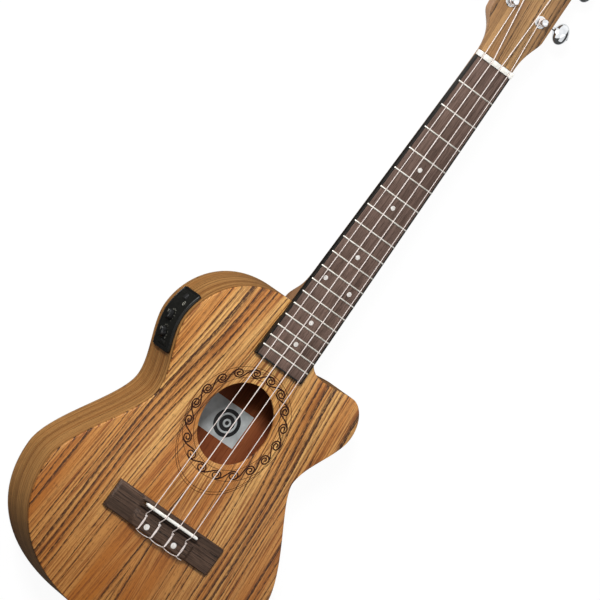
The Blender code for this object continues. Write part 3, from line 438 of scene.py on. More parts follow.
def wood(name, lay, pale, warm, line, dark, figure=0.35, spacing=6.0, wide=(0.5, 2.2), keep=0.45,
         depth=1.6, drift=(45, 260, 5.0), fray=(0.8, 7, 0.6), fine=(1.1, 90), zone=(22, 420),
         pore=(0.45, 6, 0.35), rough=0.38, shine=0.35, painted_tail_shade=None, book=None):
    made, tree, shader = new_finish(name, Specular_IOR_Level=shine)
    spot = add(tree, "TexCoord")["Object"]
    places = add(tree, "Mapping", {"Vector": spot, "Scale": (1000, 1000, 1000)})[0]
    if book:
        x, y, z = add(tree, "SeparateXYZ", [places])
        aside = add(tree, "Math", [x, book[0]], operation="SUBTRACT")[0]
        leaf = add(tree, "Math", [aside], operation="ABSOLUTE")[0]
        opened = add(tree, "CombineXYZ", [leaf, y, z])[0]
        lean = (0, 0, -math.radians(book[1]))
        places = add(tree, "Mapping", [opened, (-book[2], 0, 0), lean])[0]

    def fibres(across, along, detail=2.0):
        """Noise that is stretched along the grain, its features so many mm across and along."""
        size = [1 / (across if axis in lay else along) for axis in "xyz"]
        mapped = add(tree, "Mapping", {"Vector": places, "Scale": size})[0]
        return add(tree, "TexNoise", {"Vector": mapped, "Scale": 1.0, "Detail": detail})[0]

    # How far each place lies across the grain, bent by the drift and frayed at the edges.
    slope = [(1.0 if axis == lay[0] else 0.55) if axis in lay else 0.0 for axis in "xyz"]
    across = add(tree, "VectorMath", [places, slope], operation="DOT_PRODUCT")["Value"]
    bend = add(tree, "MapRange", [fibres(*drift[:2], 1.0), 0, 1, -drift[2] * 2, drift[2] * 2])[0]
    jitter = add(tree, "MapRange", [fibres(*fray[:2]), 0, 1, -fray[2], fray[2]])[0]
    bent = add(tree, "Math", [across, bend], operation="ADD")[0]
    frayed = add(tree, "Math", [bent, jitter], operation="ADD")[0]
    rings = add(tree, "Math", [frayed, spacing], operation="DIVIDE")[0]

    # Each ring has a number, and the number draws its strength and the breadth of its line.
    nearest = add(tree, "Math", [rings, 0.5], operation="ADD")[0]
    number = add(tree, "Math", [nearest], operation="FLOOR")[0]
    other = add(tree, "Math", [number, SECOND_DRAW], operation="ADD")[0]
    strength = add(tree, "TexWhiteNoise", {"W": number}, noise_dimensions="1D")["Value"]
    breadth = add(tree, "TexWhiteNoise", {"W": other}, noise_dimensions="1D")["Value"]

    # The line is darkest at the ring's end and fades over its breadth, and pores break it up.
    share = add(tree, "Math", [rings], operation="FRACT")[0]
    rest = add(tree, "Math", [1.0, share], operation="SUBTRACT")[0]
    left = add(tree, "Math", [rest, spacing], operation="MULTIPLY")[0]
    broad = add(tree, "MapRange", [breadth, 0, 1, *wide])[0]
    faded = add(tree, "Math", [left, broad], operation="DIVIDE")[0]
    ring = add(tree, "MapRange", [faded, 0, 1, 1.0, 0.0])[0]
    kept = add(tree, "MapRange", [strength, keep, min(keep + 0.3, 1.0)])[0]
    ticks = add(tree, "MapRange", [fibres(*TICK, 3.0), 0.36, 0.56, depth * 0.45, depth])[0]
    shown = add(tree, "Math", [ring, kept], operation="MULTIPLY")[0]
    inked = add(tree, "Math", [shown, ticks], operation="MULTIPLY")[0]
    late = add(tree, "ValToRGB", [inked], [(0.15, line), (0.75, dark)])["Color"]

    # The layers of colour, from the zones below to the pores on top.
    thin = fibres(*fine, 3.0)
    figured = add(tree, "MapRange", [thin, 0.46, 0.64, 0.0, figure])[0]
    short = add(tree, "MapRange", [fibres(*pore[:2], 1.0), 0.58, 0.70, 0.0, pore[2]])[0]
    layers = [(figured, tint(line)), (inked, late), (short, tint(dark))]
    # Painted shade: towards the tail a darker, redder colour is mixed into the wood's own.
    if painted_tail_shade:
        height = add(tree, "SeparateXYZ", [places])["Y"]
        tail_shade_share = add(tree, "MapRange", [height, TAIL_SHADE_LOW, TAIL_SHADE_HIGH, painted_tail_shade[1], 0.0])[0]
        layers.insert(0, (tail_shade_share, tint(painted_tail_shade[0])))
    colour = add(tree, "ValToRGB", [fibres(*zone)], [(0.38, warm), (0.60, pale)])["Color"]
    for cover, over in layers:
        sockets = {0: cover, MIX_UNDER: colour, MIX_OVER: over}
        colour = add(tree, "Mix", sockets, data_type="RGBA")[MIX_COLOUR]

    sheen = add(tree, "MapRange", [thin, 0.3, 0.7, rough - 0.05, rough + 0.08])[0]
    relief = add(tree, "Math", [1.0, short], operation="SUBTRACT")[0]
    bump = add(tree, "Bump", {"Strength": 0.25, "Distance": 0.05 * MM, "Height": relief})[0]
    tree.links.new(colour, shader.inputs["Base Color"])
    tree.links.new(sheen, shader.inputs["Roughness"])
    tree.links.new(bump, shader.inputs["Normal"])
    return made


print("wood recipe ready")


# %% [markdown]
# ## The woods of this ukulele
# - Soundboard: a striped veneer, golden tan. Its late-wood lines come about every 6 mm, a
#   quarter of them left out, and fade over 1 to 5 mm. Towards the tail it gets painted shade, a
#   darker, redder colour. It is book-matched: the seam lies 2.5 mm to the bass side, and the
#   lines lean 5 degrees from it.
# - Sides: the same wood, browner, sawn so that the lines lie close and run along the rim.
# - Back and head: veneers of the same kind, plainer on the back. The head is greyer and
#   darker, partly its own tone and partly painted shade.
# - Neck: an even, reddish wood with long open pores.
# - Fretboard and bridge: rosewood, oiled and not lacquered, with short fine ticks of grain.
# - Inside: bare reddish wood.
#
# Lacquer gives a soft, even sheen, oil a dull one, and bare wood hardly any.

# %% Woods
# The soundboard's colour holds painted shade towards the tail, darker and redder.
striped_top = wood(
    "zebrano veneer, satin lacquer", "x", "E6B26A", "C4803C", "84491C", "42230A", figure=0.95, spacing=5.6,
    wide=(1.0, 5.0), keep=0.25, drift=(60, 180, 5.0), fine=(1.3, 55), zone=(14, 260), pore=(0.5, 4, 0.5),
    painted_tail_shade=("96520F", 0.62), book=(-2.5, 5.0, 27),
)
back_wood = wood(
    "back veneer, satin lacquer", "x", "A9804F", "94683A", "6F4826", "43280F", figure=0.45, spacing=4.6,
    wide=(0.4, 1.8), keep=0.45, depth=0.9,
)
rim_wood = wood(
    "side veneer bent round the rim, satin lacquer", "z", "BC8A50", "9E6B38", "6F4820", "422810",
    figure=0.65, spacing=2.6, wide=(0.5, 1.8), keep=0.35, depth=1.1, drift=(30, 160, 1.5),
    fray=(0.6, 9, 0.2), fine=(0.8, 120), zone=(7, 260),
)
neck_wood = wood(
    "okoume neck, satin lacquer", "xz", "B58B64", "9F7650", "7F5A3C", "54341F", figure=0.4, spacing=7.0,
    wide=(0.5, 1.6), keep=0.6, depth=0.6, pore=(0.4, 5, 0.4),
)
# The head's greyer, darker colours are partly the veneer's own and partly painted shade.
head_wood = wood(
    "head veneer, satin lacquer", "x", "B58C5C", "8E663F", "664526", "3A2614", figure=0.6, spacing=4.4,
    wide=(1.0, 4.4), keep=0.2, depth=1.3, drift=(20, 200, 2.5),
)
board_wood = wood(
    "rosewood fretboard, oiled", "x", "776157", "624F46", "48372F", "281D18", figure=0.65, spacing=4.2,
    wide=(0.5, 2.0), keep=0.4, depth=0.9, drift=(20, 160, 1.5), fine=(0.7, 22), zone=(8, 160),
    pore=(0.45, 5, 0.5), rough=0.55, shine=0.2,
)
bridge_wood = wood(
    "rosewood bridge, oiled", "yz", "5C473A", "46352A", "2B1F18", "140E0A", figure=0.8, spacing=3.2,
    wide=(0.4, 1.8), keep=0.35, depth=1.2, drift=(14, 90, 2.5), fine=(0.6, 18), zone=(8, 120),
    pore=(0.4, 4, 0.5), rough=0.55, shine=0.2,
)
bare_wood = wood(
    "mahogany inside, bare", "x", "A65E38", "8C4A2A", "6B351C", "40200F", figure=0.4, spacing=8.0, keep=0.7,
    depth=0.5, rough=0.65, shine=0.2,
)
print("woods mixed")


# %% [markdown]
# ## Everything that isn't wood
# - Tuners and jack are chrome plated: almost a mirror, a little uneven from the polishing wheel.
# - Frets are nickel silver wire, a warmer and softer shine. The pickup is wrapped in brass film.
# - Nut and saddle are moulded in ivory white, smooth but not glossy. The strings are extruded
#   and slightly see-through in life, here a pale grey-pink with a soft gloss.
# - The panel is moulded ABS: the mould was spark-eroded, which leaves a fine dull grain. Its
#   rim is polished, its knobs are satin, and the push button is dull silicone rubber.
# - The fretboard's binding is ABS too, scraped flush, so it is dull and a little streaky.
# - Dots are pearloid, pale and cloudy. Marks on the panel are printed, and so is the label.
# - The engraved line is burnt by a laser: charred, dark brown and quite without gloss.

# %% Plain finishes
# The real grain of a spark-eroded mould is near 0.05 mm. This is the finest that still shows.
RELIEF_GRAIN = 0.4


def mottled(name, low, high, feature, dent, spread=0.05, **values):
    """A finish that drifts between two tones over feature mm, with a relief dent mm deep."""
    made, tree, shader = new_finish(name, **values)
    spot = add(tree, "TexCoord")["Object"]
    drift = add(tree, "TexNoise", {"Vector": spot, "Scale": 1000 / feature, "Detail": 3.0})[0]
    colour = add(tree, "ValToRGB", [drift], [(0.35, low), (0.65, high)])["Color"]
    rough = values["Roughness"]
    sheen = add(tree, "MapRange", [drift, 0, 1, max(rough - spread, 0.02), rough + spread])[0]
    grain = add(tree, "TexNoise", {"Vector": spot, "Scale": 1000 / RELIEF_GRAIN, "Detail": 2.0})[0]
    bump = add(tree, "Bump", {"Strength": 0.3, "Distance": dent * MM, "Height": grain})[0]
    tree.links.new(colour, shader.inputs["Base Color"])
    tree.links.new(sheen, shader.inputs["Roughness"])
    tree.links.new(bump, shader.inputs["Normal"])
    return made


chrome = mottled("chrome plate, polished", "D6D9DC", "E9EBED", 6, 0.0001, 0.02, Metallic=1.0, Roughness=0.07)
nickel = mottled("nickel silver fret wire", "DAD6CC", "EFECE4", 3, 0.001, Metallic=1.0, Roughness=0.45)
brass = mottled("brass shielding film", "A98546", "C09A58", 3, 0.01, Metallic=1.0, Roughness=0.35)
ivory = mottled("ivory white bone substitute", "EEEBE2", "FAF9F4", 5, 0.001, Roughness=0.38)
string_line = mottled("fluorocarbon string", "DCCDC6", "EDE3DE", 4, 0.001, Roughness=0.3)
pearl = mottled("pearloid dot", "CFC9C2", "EFECE8", 1.6, 0.001, Roughness=0.3)
rubber = mottled("black silicone rubber", "101010", "1A1A1A", 1.5, 0.02, Roughness=0.7)
white_paint = mottled("grey-white pad print", "8F8C80", "C2BFB2", 0.8, 0.005, Roughness=0.6)
paper = mottled("grey paper label", "BCC2C2", "DADFDF", 9, 0.01, Roughness=0.8)
ink = mottled("black printing ink", "111212", "1C1E1E", 3, 0.004, Roughness=0.6)
black_abs = mottled(
    "black ABS, spark-eroded mould", "0F0F0C", "1A1A16", 2, 0.02, 0.06,
    Roughness=0.45, Specular_IOR_Level=0.35,
)
gloss_abs = mottled(
    "black ABS, polished rim", "0B0B0A", "161614", 3, 0.004, 0.04,
    Roughness=0.28, Specular_IOR_Level=0.4,
)
knob_abs = mottled(
    "black ABS knob, satin", "080808", "101010", 2, 0.004, 0.05,
    Roughness=0.35, Specular_IOR_Level=0.4,
)
edge_black = mottled(
    "black ABS binding, scraped", "14120F", "221F1B", 3, 0.004, 0.06,
    Roughness=0.5, Specular_IOR_Level=0.25,
)
burnt = mottled(
    "laser-engraved line, burnt wood", "24110A", "38190E", 2, 0.02, 0.05,
    Roughness=0.8, Specular_IOR_Level=0.2,
)
print("other finishes mixed")

# %% [markdown]
# ## Carried-over solids
# Each solid gets a real finish first. The ones that are replaced further down are hidden
# there, so nothing is ever left in its plain colour.

# %% Finishes for the solids
FINISH_OF_SLOT = {
    "soundboard_wood": striped_top, "body_wood": back_wood, "inner_wood": bare_wood, "neck_wood": neck_wood,
    "veneer_wood": head_wood, "fretboard_wood": board_wood, "bridge_wood": bridge_wood, "nut_bone": ivory,
    "fret_metal": nickel, "string_nylon": string_line, "pickup_film": brass, "tuner_chrome": chrome,
    "button_chrome": chrome, "jack_chrome": chrome, "panel_plastic": black_abs, "knob_plastic": knob_abs,
    "button_rubber": rubber,
}
for row in frame["record"]["subparts"]:
    solid = frame["nodes"][row["node"]]
    for holder in solid.material_slots:
        holder.material = FINISH_OF_SLOT[row["material_slot"]]
print(len(frame["nodes"]), "solids finished")

# %% [markdown]
# ## Camera
# The photograph was taken from far away with a long lens, over the bass side and a little
# rolled, so that the neck runs up to the right. The camera's place and its three directions
# were fitted to the spacing of the frets and to the body's outline.

# %% Camera
CAMERA_AT = Vector((-2.6214, 0.1568, 5.6837))
RIGHT = Vector((0.7374666, 0.58058121, 0.345063))
DOWN = Vector((0.52910996, -0.81417823, 0.23907418))
AHEAD = Vector((0.41974476, 0.00626705, -0.90762055))
let_go()
bpy.ops.object.camera_add()
camera = bpy.context.object
turn = Matrix((RIGHT, -DOWN, -AHEAD)).transposed().to_4x4()
camera.matrix_world = Matrix.Translation(CAMERA_AT) @ turn
camera.data.lens = 480
camera.data.sensor_width = 36
bpy.context.scene.camera = camera
print("camera", [round(v, 3) for v in camera.location])


# %% [markdown]
# ## Soundboard and back
# Both are boards with the same outline. The oval sound hole is cut with an oval tool, and
# the edges are eased by hand-sanding. The back has a thin reddish veneer on its inside.

# %% Soundboard and back
HOLE = Vector((0, 88.3)) * MM
HOLE_HALF = Vector((29.9, 34.4)) * MM


def oval(middle, half, steps=128):
    """Points of an oval in the plane of the soundboard."""
    angles = [math.tau * i / steps for i in range(steps)]
    return [middle + Vector((half.x * math.cos(a), half.y * math.sin(a))) for a in angles]


top_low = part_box("soundboard")[0].z
soundboard = board(RIM, top_low, TOP)
cut(soundboard, board(oval(HOLE, HOLE_HALF), top_low - 5 * MM, TOP + 5 * MM))
ease(soundboard, 0.5 * MM, 3, 60)
settle(soundboard, "soundboard_veneered", striped_top, "root", ["soundboard"], 40)

BACK_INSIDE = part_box("back")[1].z
back = ease(board(RIM, 0, BACK_INSIDE), 0.6 * MM, 3, 60)
settle(back, "back_veneered", back_wood, "root", ["back"], 40)
lining = []
for before, here, after in zip(RIM[-1:] + RIM[:-1], RIM, RIM[1:] + RIM[:1]):
    along = (after - before).normalized()
    lining.append(here + Vector((-along.y, along.x)) * 3.2 * MM)
inside = board(lining, BACK_INSIDE, BACK_INSIDE + 0.1 * MM)
settle(inside, "back_inner_veneer", bare_wood)
print(len(soundboard.data.polygons), "faces in the soundboard")


# %% [markdown]
# ## Sides
# A real side is a flat strip that is soaked and bent. The same is done here: a flat grid is
# laid along the outline, and Solidify gives it its 2.5 mm.

# %% Sides
SIDE_LOW, SIDE_HIGH = BACK_INSIDE + 0.05 * MM, top_low - 0.05 * MM


def bent_side(path):
    """A strip bent along the path, upright between back and soundboard."""
    let_go()
    last = len(path) - 1
    bpy.ops.mesh.primitive_grid_add(x_subdivisions=last, y_subdivisions=4, size=1)
    strip = bpy.context.object
    for vertex in strip.data.vertices:
        at = path[round((vertex.co.x + 0.5) * last)]
        vertex.co = (at.x, at.y, SIDE_LOW + (vertex.co.y + 0.5) * (SIDE_HIGH - SIDE_LOW))
    change(strip, "SOLIDIFY", thickness=2.5 * MM, offset=-1, use_even_offset=True)
    return strip


half_gap = Vector((GAP / 2, 0))
middle = RIM_PLACES[8]
treble_side = bent_side([RIM[0] + half_gap] + RIM[1:middle] + [RIM[middle] + half_gap])
bass_side = bent_side([RIM[middle] - half_gap] + RIM[middle + 1 :] + [RIM[0] - half_gap])
print(len(treble_side.data.polygons), "faces in the treble side")

# %% [markdown]
# The two holes: the jack goes through both sides at the tail, and the preamp through the
# bass side. Its opening follows the rim, so a place on the rim is needed for any y.

# %% Holes in the sides
FINE_RIM, FINE_PLACES = body_outline(8)
BASS_RIM = FINE_RIM[FINE_PLACES[9] : FINE_PLACES[11] + 1]
PANEL_MIDDLE = (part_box("preamp_plate")[0].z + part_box("preamp_plate")[1].z) / 2


def rim_frame(y):
    """Axes at the bass rim's place y: X along the rim to the head, Y up, Z outwards."""
    here = next(i for i in range(len(BASS_RIM) - 1) if BASS_RIM[i + 1].y <= y <= BASS_RIM[i].y)
    upper, lower = BASS_RIM[here], BASS_RIM[here + 1]
    point = upper.lerp(lower, (upper.y - y) / (upper.y - lower.y))
    along = (BASS_RIM[max(here - 2, 0)] - BASS_RIM[here + 3]).normalized()
    made = Matrix.Identity(4)
    made.col[0] = (along.x, along.y, 0, 0)
    made.col[1] = (0, 0, 1, 0)
    made.col[2] = (-along.y, along.x, 0, 0)
    made.col[3] = (point.x, point.y, PANEL_MIDDLE, 1)
    return made


def on_rim(y, up, out):
    """A point so far up and out from the bass rim's place y, at the panel's middle height."""
    return rim_frame(y) @ Vector((0, up, out))


jack_z = (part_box("output_jack")[0].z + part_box("output_jack")[1].z) / 2
for side in (treble_side, bass_side):
    cut(side, rod((0, -105 * MM, jack_z), (0, -90 * MM, jack_z), 5.8 * MM))
HOUSING_LOW, HOUSING_LONG = 104.6 * MM, 46.8 * MM
opening = [on_rim(HOUSING_LOW + HOUSING_LONG * i / 12, 0, 3 * MM).xy for i in range(13)]
inward = -rim_frame(HOUSING_LOW + HOUSING_LONG / 2).col[2].xy
opening += [opening[-1] + inward * 12 * MM, opening[0] + inward * 12 * MM]
cut(bass_side, board(opening, 14.3 * MM, 41.2 * MM))
settle(treble_side, "side_treble_bent", rim_wood, stands_for=["side_treble"], smooth=40)
settle(bass_side, "side_bass_bent", rim_wood, stands_for=["side_bass"], smooth=40)
print("sides bent and cut")

# %% [markdown]
# ## Ring round the sound hole
# The ornament is burnt in with a laser: a running scroll of eighteen curls, thin ovals at
# both of its edges, and a crescent towards the bridge. The scroll is one line that leaves
# the outer side of a curl, dives to the inner side of the next and winds up in it. The
# curls are equally far apart along the oval. The lines are thin wires, pressed flat.

# %% Engraved ring
RING = Vector((0.45, 88.4)) * MM
RING_HALF = Vector((38.9, 42.8)) * MM
CURLS = 18
FIRST_CURL = math.radians(85.4)
PACES = 1440
bearings = [FIRST_CURL + math.tau * i / PACES for i in range(PACES + 1)]
walk = [RING + Vector((RING_HALF.x * math.cos(a), RING_HALF.y * math.sin(a))) for a in bearings]
reach = [0.0]
for before, here in zip(walk, walk[1:]):
    reach.append(reach[-1] + (here - before).length)
PITCH = reach[-1] / CURLS


def ring_point(along, out):
    """A point at this distance along the oval, anticlockwise, and this far out from it."""
    along %= reach[-1]
    here = next(i for i in range(PACES) if reach[i + 1] >= along)
    point = walk[here].lerp(walk[here + 1], (along - reach[here]) / (reach[here + 1] - reach[here]))
    ahead = (walk[here + 1] - walk[here]).normalized()
    return point + Vector((ahead.y, -ahead.x)) * out


def curl_route(number):
    """From the outer side of the curl before, under this one and round into its eye."""
    middle = number * PITCH
    route = []
    for i in range(14):
        t = i / 14
        dive = 3 * t * t - 2 * t**3
        route.append((-PITCH + 0.3 * MM + (PITCH - 0.3 * MM) * t, (3.1 - 6.6 * dive) * MM))
    for i in range(35):
        t = i / 34
        angle = -math.pi / 2 + t * math.radians(600)
        size = 1 - 0.86 * t**1.4
        route.append((4.3 * MM * size * math.cos(angle), 3.5 * MM * size * math.sin(angle)))
    flat = [ring_point(middle + along, out) for along, out in route]
    return [(p.x, p.y, TOP) for p in flat]


def flat_lines(routes, width, name, closed=False):
    """Lines width wide that lie almost flush in the soundboard."""
    lines = wire(routes, width, closed, 2)
    squash = Matrix.Translation((0, 0, TOP + 0.01 * MM)) @ Matrix.Diagonal((1, 1, 0.12, 1))
    place(lines, squash @ Matrix.Translation((0, 0, -TOP)))
    return settle(lines, name, burnt, smooth=60)


flat_lines([curl_route(i) for i in range(CURLS)], 1.15 * MM, "ring_curls")
THIN_OVALS = [((0.8, 88.8), (34.2, 38.4)), ((0.8, 88.9), (43.6, 47.0)), ((1.2, 81.0), (41.2, 53.0)),
              ((1.2, 81.6), (40.4, 51.2))]
ovals = [oval(Vector(at) * MM, Vector(half) * MM) for at, half in THIN_OVALS]
flat_lines([[(p.x, p.y, TOP) for p in line] for line in ovals], 0.42 * MM, "ring_ovals", closed=True)
print(CURLS, "curls and", len(ovals), "ovals")

# %% [markdown]
# ## Label inside
# A paper label is glued to the back under the hole. The camera looks in at a slant and sees
# a part of it. Its print is kept plain: a black disc with two pale rings.

# %% Label
paper_low = BACK_INSIDE + 0.1 * MM
label = block((-35 * MM, 70 * MM, paper_low), (32.6 * MM, 100 * MM, paper_low + 0.1 * MM))
settle(label, "label_paper", paper)
PRINT = Vector((16, 84.4)) * MM
print_top = paper_low + 0.14 * MM
disc = rod((*PRINT, paper_low + 0.05 * MM), (*PRINT, print_top), 11.6 * MM, 64)
settle(disc, "label_disc", ink)
circles = [[(*p, print_top) for p in oval(PRINT, Vector((r, r)) * MM, 48)] for r in (7.6, 2.6)]
settle(wire(circles, 1.8 * MM, True, 1), "label_circles", paper)
print("label printed")


# %% [markdown]
# ## Bridge, saddle and nut
# All three are cut from solid stock and eased by hand. Two pearl dots sit in the tie block.

# %% Bridge, saddle and nut
settle(eased("bridge", 0.3 * MM), "bridge_eased", bridge_wood, stands_for=["bridge"])
settle(eased("saddle", 0.6 * MM, 3), "saddle_eased", ivory, stands_for=["saddle"])
settle(eased("nut", 0.35 * MM), "nut_eased", ivory, stands_for=["nut"])


def inlay(radius, places, top, name):
    """Round pearl dots, one pattern and its copies, their faces a hair above the wood."""
    pattern = turned([(radius, -0.8 * MM), (radius, 0.02 * MM), (radius * 0.9, 0.07 * MM)], 40)
    for number, (x, y) in enumerate(places):
        made = place(copy_of(pattern), Matrix.Translation((x, y, top)))
        settle(made, f"{name}_{number + 1}", pearl)
    bpy.data.objects.remove(pattern)


inlay(2.45 * MM, [(-14.6 * MM, -16.6 * MM), (13.4 * MM, -16.6 * MM)], BRIDGE_TOP, "bridge_dot")
print("bridge dressed")

# %% [markdown]
# ## Fretboard
# The board is bound in black: a strip along each long edge and one across its end. The
# position dots are at frets 5, 7, 10, 12 (two), 15 and 17.

# %% Binding and dots
END_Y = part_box("fretboard")[0].y
NUT_WIDE, END_WIDE = 35 * MM, 47.5 * MM
BIND_WIDE = 1.6 * MM


def board_half(y):
    """Half the fretboard's width at y."""
    share = (SCALE_LENGTH - y) / (SCALE_LENGTH - END_Y)
    return (NUT_WIDE + share * (END_WIDE - NUT_WIDE)) / 2


rosewood = eased("fretboard", 0.2 * MM)
settle(rosewood, "fretboard_eased", board_wood, stands_for=["fretboard"])
board_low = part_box("fretboard")[0].z
for side in (-1, 1):
    path = [(side * (board_half(y) + 0.03 * MM), y) for y in (END_Y, SCALE_LENGTH)]
    path += [(side * (board_half(y) - BIND_WIDE), y) for y in (SCALE_LENGTH, END_Y)]
    strip = ease(board(path, board_low, BOARD_TOP + 0.03 * MM), 0.25 * MM)
    settle(strip, "binding_bass" if side < 0 else "binding_treble", edge_black)
half = board_half(END_Y) + 0.03 * MM
end_strip = block((-half, END_Y - 0.03 * MM, board_low), (half, END_Y + BIND_WIDE, BOARD_TOP + 0.03 * MM))
settle(ease(end_strip, 0.25 * MM), "binding_end", edge_black)

dots = []
for fret, across in ((5, [0]), (7, [0]), (10, [0]), (12, [-12.4, 12.4]), (15, [0]), (17, [0])):
    y = SCALE_LENGTH * (2 ** (-fret / 12) + 2 ** (-(fret - 1) / 12)) / 2
    dots += [(x * MM, y) for x in across]
inlay(1.95 * MM, dots, BOARD_TOP, "board_dot")
print("board bound and dotted")

# %% [markdown]
# ## Frets
# Fret wire is a T: a half-round crown on a thin tang, which sits in the board and doesn't
# show. The crown is one rod with rounded ends, flat below. Each is as long as the board is
# wide at its place.

# %% Frets
FRETS = 18
CROWN_HALF, CROWN_HIGH = 0.8 * MM, 0.72 * MM
for number in range(1, FRETS + 1):
    y = SCALE_LENGTH * 2 ** (-number / 12)
    half = board_half(y) - 0.15 * MM
    rings = []
    for x, size in ((-1, 0.1), (-0.992, 0.6), (-0.97, 1), (0.97, 1), (0.992, 0.6), (1, 0.1)):
        ring = []
        for i in range(16):
            a = math.tau * i / 16
            out = CROWN_HALF * size**0.5 * math.cos(a)
            up = CROWN_HIGH * size * max(math.sin(a), 0)
            ring.append((x * half, y + out, BOARD_TOP + up))
        rings.append(ring)
    fret = f"{number:02d}"
    settle(lofted(rings), "fret_crown_" + fret, nickel, "root", ["fret_" + fret], 50)
print(FRETS, "frets")


# %% [markdown]
# ## Neck and head
# The neck is carved: its section is a bow at the heel, a soft V along the neck and a flat
# board in the head. The blank is lofted through many more sections than the solid has, and
# the four peg holes are drilled afterwards.

# %% Neck sections
POST_X, POST_U, POST_APART = 15.5 * MM, 45.4 * MM, 39.5 * MM
POSTS = [(1, -1, POST_U), (2, -1, POST_U + POST_APART), (3, 1, POST_U + POST_APART), (4, 1, POST_U)]
NECK_DEPTH, NUT_END_DEPTH, HEEL_SWEEP = 14.2 * MM, 13.2 * MM, 27 * MM
HEEL_FULL, NECK_FULL, HEAD_FULL = 0.85, 1.5, 180
NECK_START, NECK_STOP = JOINT_Y + GAP, SCALE_LENGTH - 20 * MM
FLARE = Vector((26.4, 33.5))


def head_edge(steps):
    """The head's right edge as (half width, u), from the nut to the tip."""
    nut, crown, tip = Vector((NUT_WIDE / 2 / MM, 0)), Vector((30.2, 104)), Vector((4, 119))
    edge = arc_points(nut, nut + Vector((0, 18)), FLARE - Vector((0, 6)), FLARE, steps) + [FLARE]
    edge += arc_points(crown, crown + Vector((0, 10)), tip + Vector((12, -2)), tip, steps) + [tip]
    return [p * MM for p in edge]


def section(half, depth, full, matrix):
    """One cross-section of the neck, its flat top at the height of the matrix's origin."""
    shares = [0.97 * math.sin(math.pi / 2 * i / 15) for i in range(16)]
    right = [(half * math.sqrt(1 - share**full), -depth * share / 0.97) for share in shares]
    return [matrix @ Vector((x, 0, z)) for x, z in right + [(-x, z) for x, z in right[::-1]]]


print(len(POSTS), "posts,", len(head_edge(16)), "points along the head's edge")

# %% [markdown]
# The sections follow each other from the joint up: the heel's sweep, the straight neck, and
# the head, where they stand on the tilted head's own axes.

# %% Neck
rings = []
for i in range(17):
    rise = (1 - math.cos(math.pi * i / 16)) / 2
    y = NECK_START + HEEL_SWEEP * i / 16
    depth = TOP + rise * (NECK_DEPTH - TOP)
    full = HEEL_FULL + rise * (NECK_FULL - HEEL_FULL)
    rings.append(section(board_half(y) - 0.5 * MM, depth, full, Matrix.Translation((0, y, TOP))))
for i in range(1, 9):
    y = NECK_START + HEEL_SWEEP + (NECK_STOP - NECK_START - HEEL_SWEEP) * i / 8
    depth = NECK_DEPTH + (NUT_END_DEPTH - NECK_DEPTH) * i / 8
    rings.append(section(board_half(y) - 0.5 * MM, depth, NECK_FULL, Matrix.Translation((0, y, TOP))))
for edge in head_edge(16):
    share = min(edge.y / (FLARE.y * MM), 1)
    depth = NUT_END_DEPTH + share * (HEAD_THICK - NUT_END_DEPTH)
    full = NECK_FULL * (HEAD_FULL / NECK_FULL) ** share**4
    rings.append(section(edge.x, depth, full, HEAD @ Matrix.Translation((0, edge.y, 0))))
neck = lofted(rings)
outline = [(x, u) for x, u in head_edge(16)]
veneer = board(outline + [(-x, u) for x, u in outline[::-1]], GAP, HEAD_FACE)
ease(veneer, 0.3 * MM, 2, 60)
for number, side, u in POSTS:
    at = Vector((side * POST_X, u, 0))
    for piece, matrix in ((neck, HEAD), (veneer, Matrix.Identity(4))):
        drill = rod(at - Vector((0, 0, 20 * MM)), at + Vector((0, 0, 10 * MM)), 4.0 * MM)
        cut(piece, place(drill, matrix))
place(veneer, HEAD)
settle(neck, "neck_carved", neck_wood, stands_for=["neck"], smooth=30)
settle(veneer, "head_veneer_fine", head_wood, stands_for=["head_veneer"], smooth=30)
print(len(neck.data.polygons), "faces in the neck")

# %% [markdown]
# ## Tuners
# One tuner is made for the treble side and copied; the bass side gets its mirror image. The
# gear case is a rounded box with a bore for the post and one for the shaft. Washer and nut
# sit round the post on the head's face.

# %% Gear case
CASE_TOP = -HEAD_THICK - GAP
CASE_LOW = CASE_TOP - 6.8 * MM
AXLE_W = CASE_TOP - 3.4 * MM
SHAFT_U = 5.9 * MM


def along_x(u, w):
    """Turns a Z-turned piece so that it points along X, at this u and w."""
    return Matrix.Translation((0, u, w)) @ Matrix.Rotation(math.pi / 2, 4, "Y")


case = ease(block((-5.4 * MM, -5.4 * MM, CASE_LOW), (7.4 * MM, 9.3 * MM, CASE_TOP)), 1.3 * MM, 4)
bushing = rod((0, 0, CASE_TOP - 1 * MM), (0, 0, 2.4 * MM), 3.7 * MM)
washer = turned([(5.0 * MM, 1.85 * MM), (5.0 * MM, 2.3 * MM), (4.7 * MM, 2.5 * MM)], 48)
hexagon = ease(turned([(4.3 * MM, 2.3 * MM), (4.3 * MM, 3.1 * MM)], 6), 0.3 * MM, 2)
screw = turned([(1.5 * MM, 0.2 * MM), (1.5 * MM, -0.1 * MM), (0.9 * MM, -0.5 * MM)], 24)
place(screw, Matrix.Translation((0, -3.2 * MM, CASE_LOW)))
bores = [
    ((0, 0, CASE_LOW + 1.0 * MM), (0, 0, 5 * MM), 2.8 * MM),
    ((0, 0, AXLE_W - 1.8 * MM), (0, 0, AXLE_W + 1.8 * MM), 4.1 * MM),
    ((-4.1 * MM, SHAFT_U, AXLE_W), (12 * MM, SHAFT_U, AXLE_W), 2.1 * MM),
]
for piece in (case, bushing, washer, hexagon):
    for start, end, radius in bores:
        cut(piece, rod(start, end, radius))
case = join(case, bushing, washer, hexagon, screw)
print(len(case.data.polygons), "faces in a gear case")

# %% [markdown]
# The post is turned on a lathe: a wheel inside the case, a waist where the string winds, and
# a rounded top. The string's hole is drilled across it above the waist.

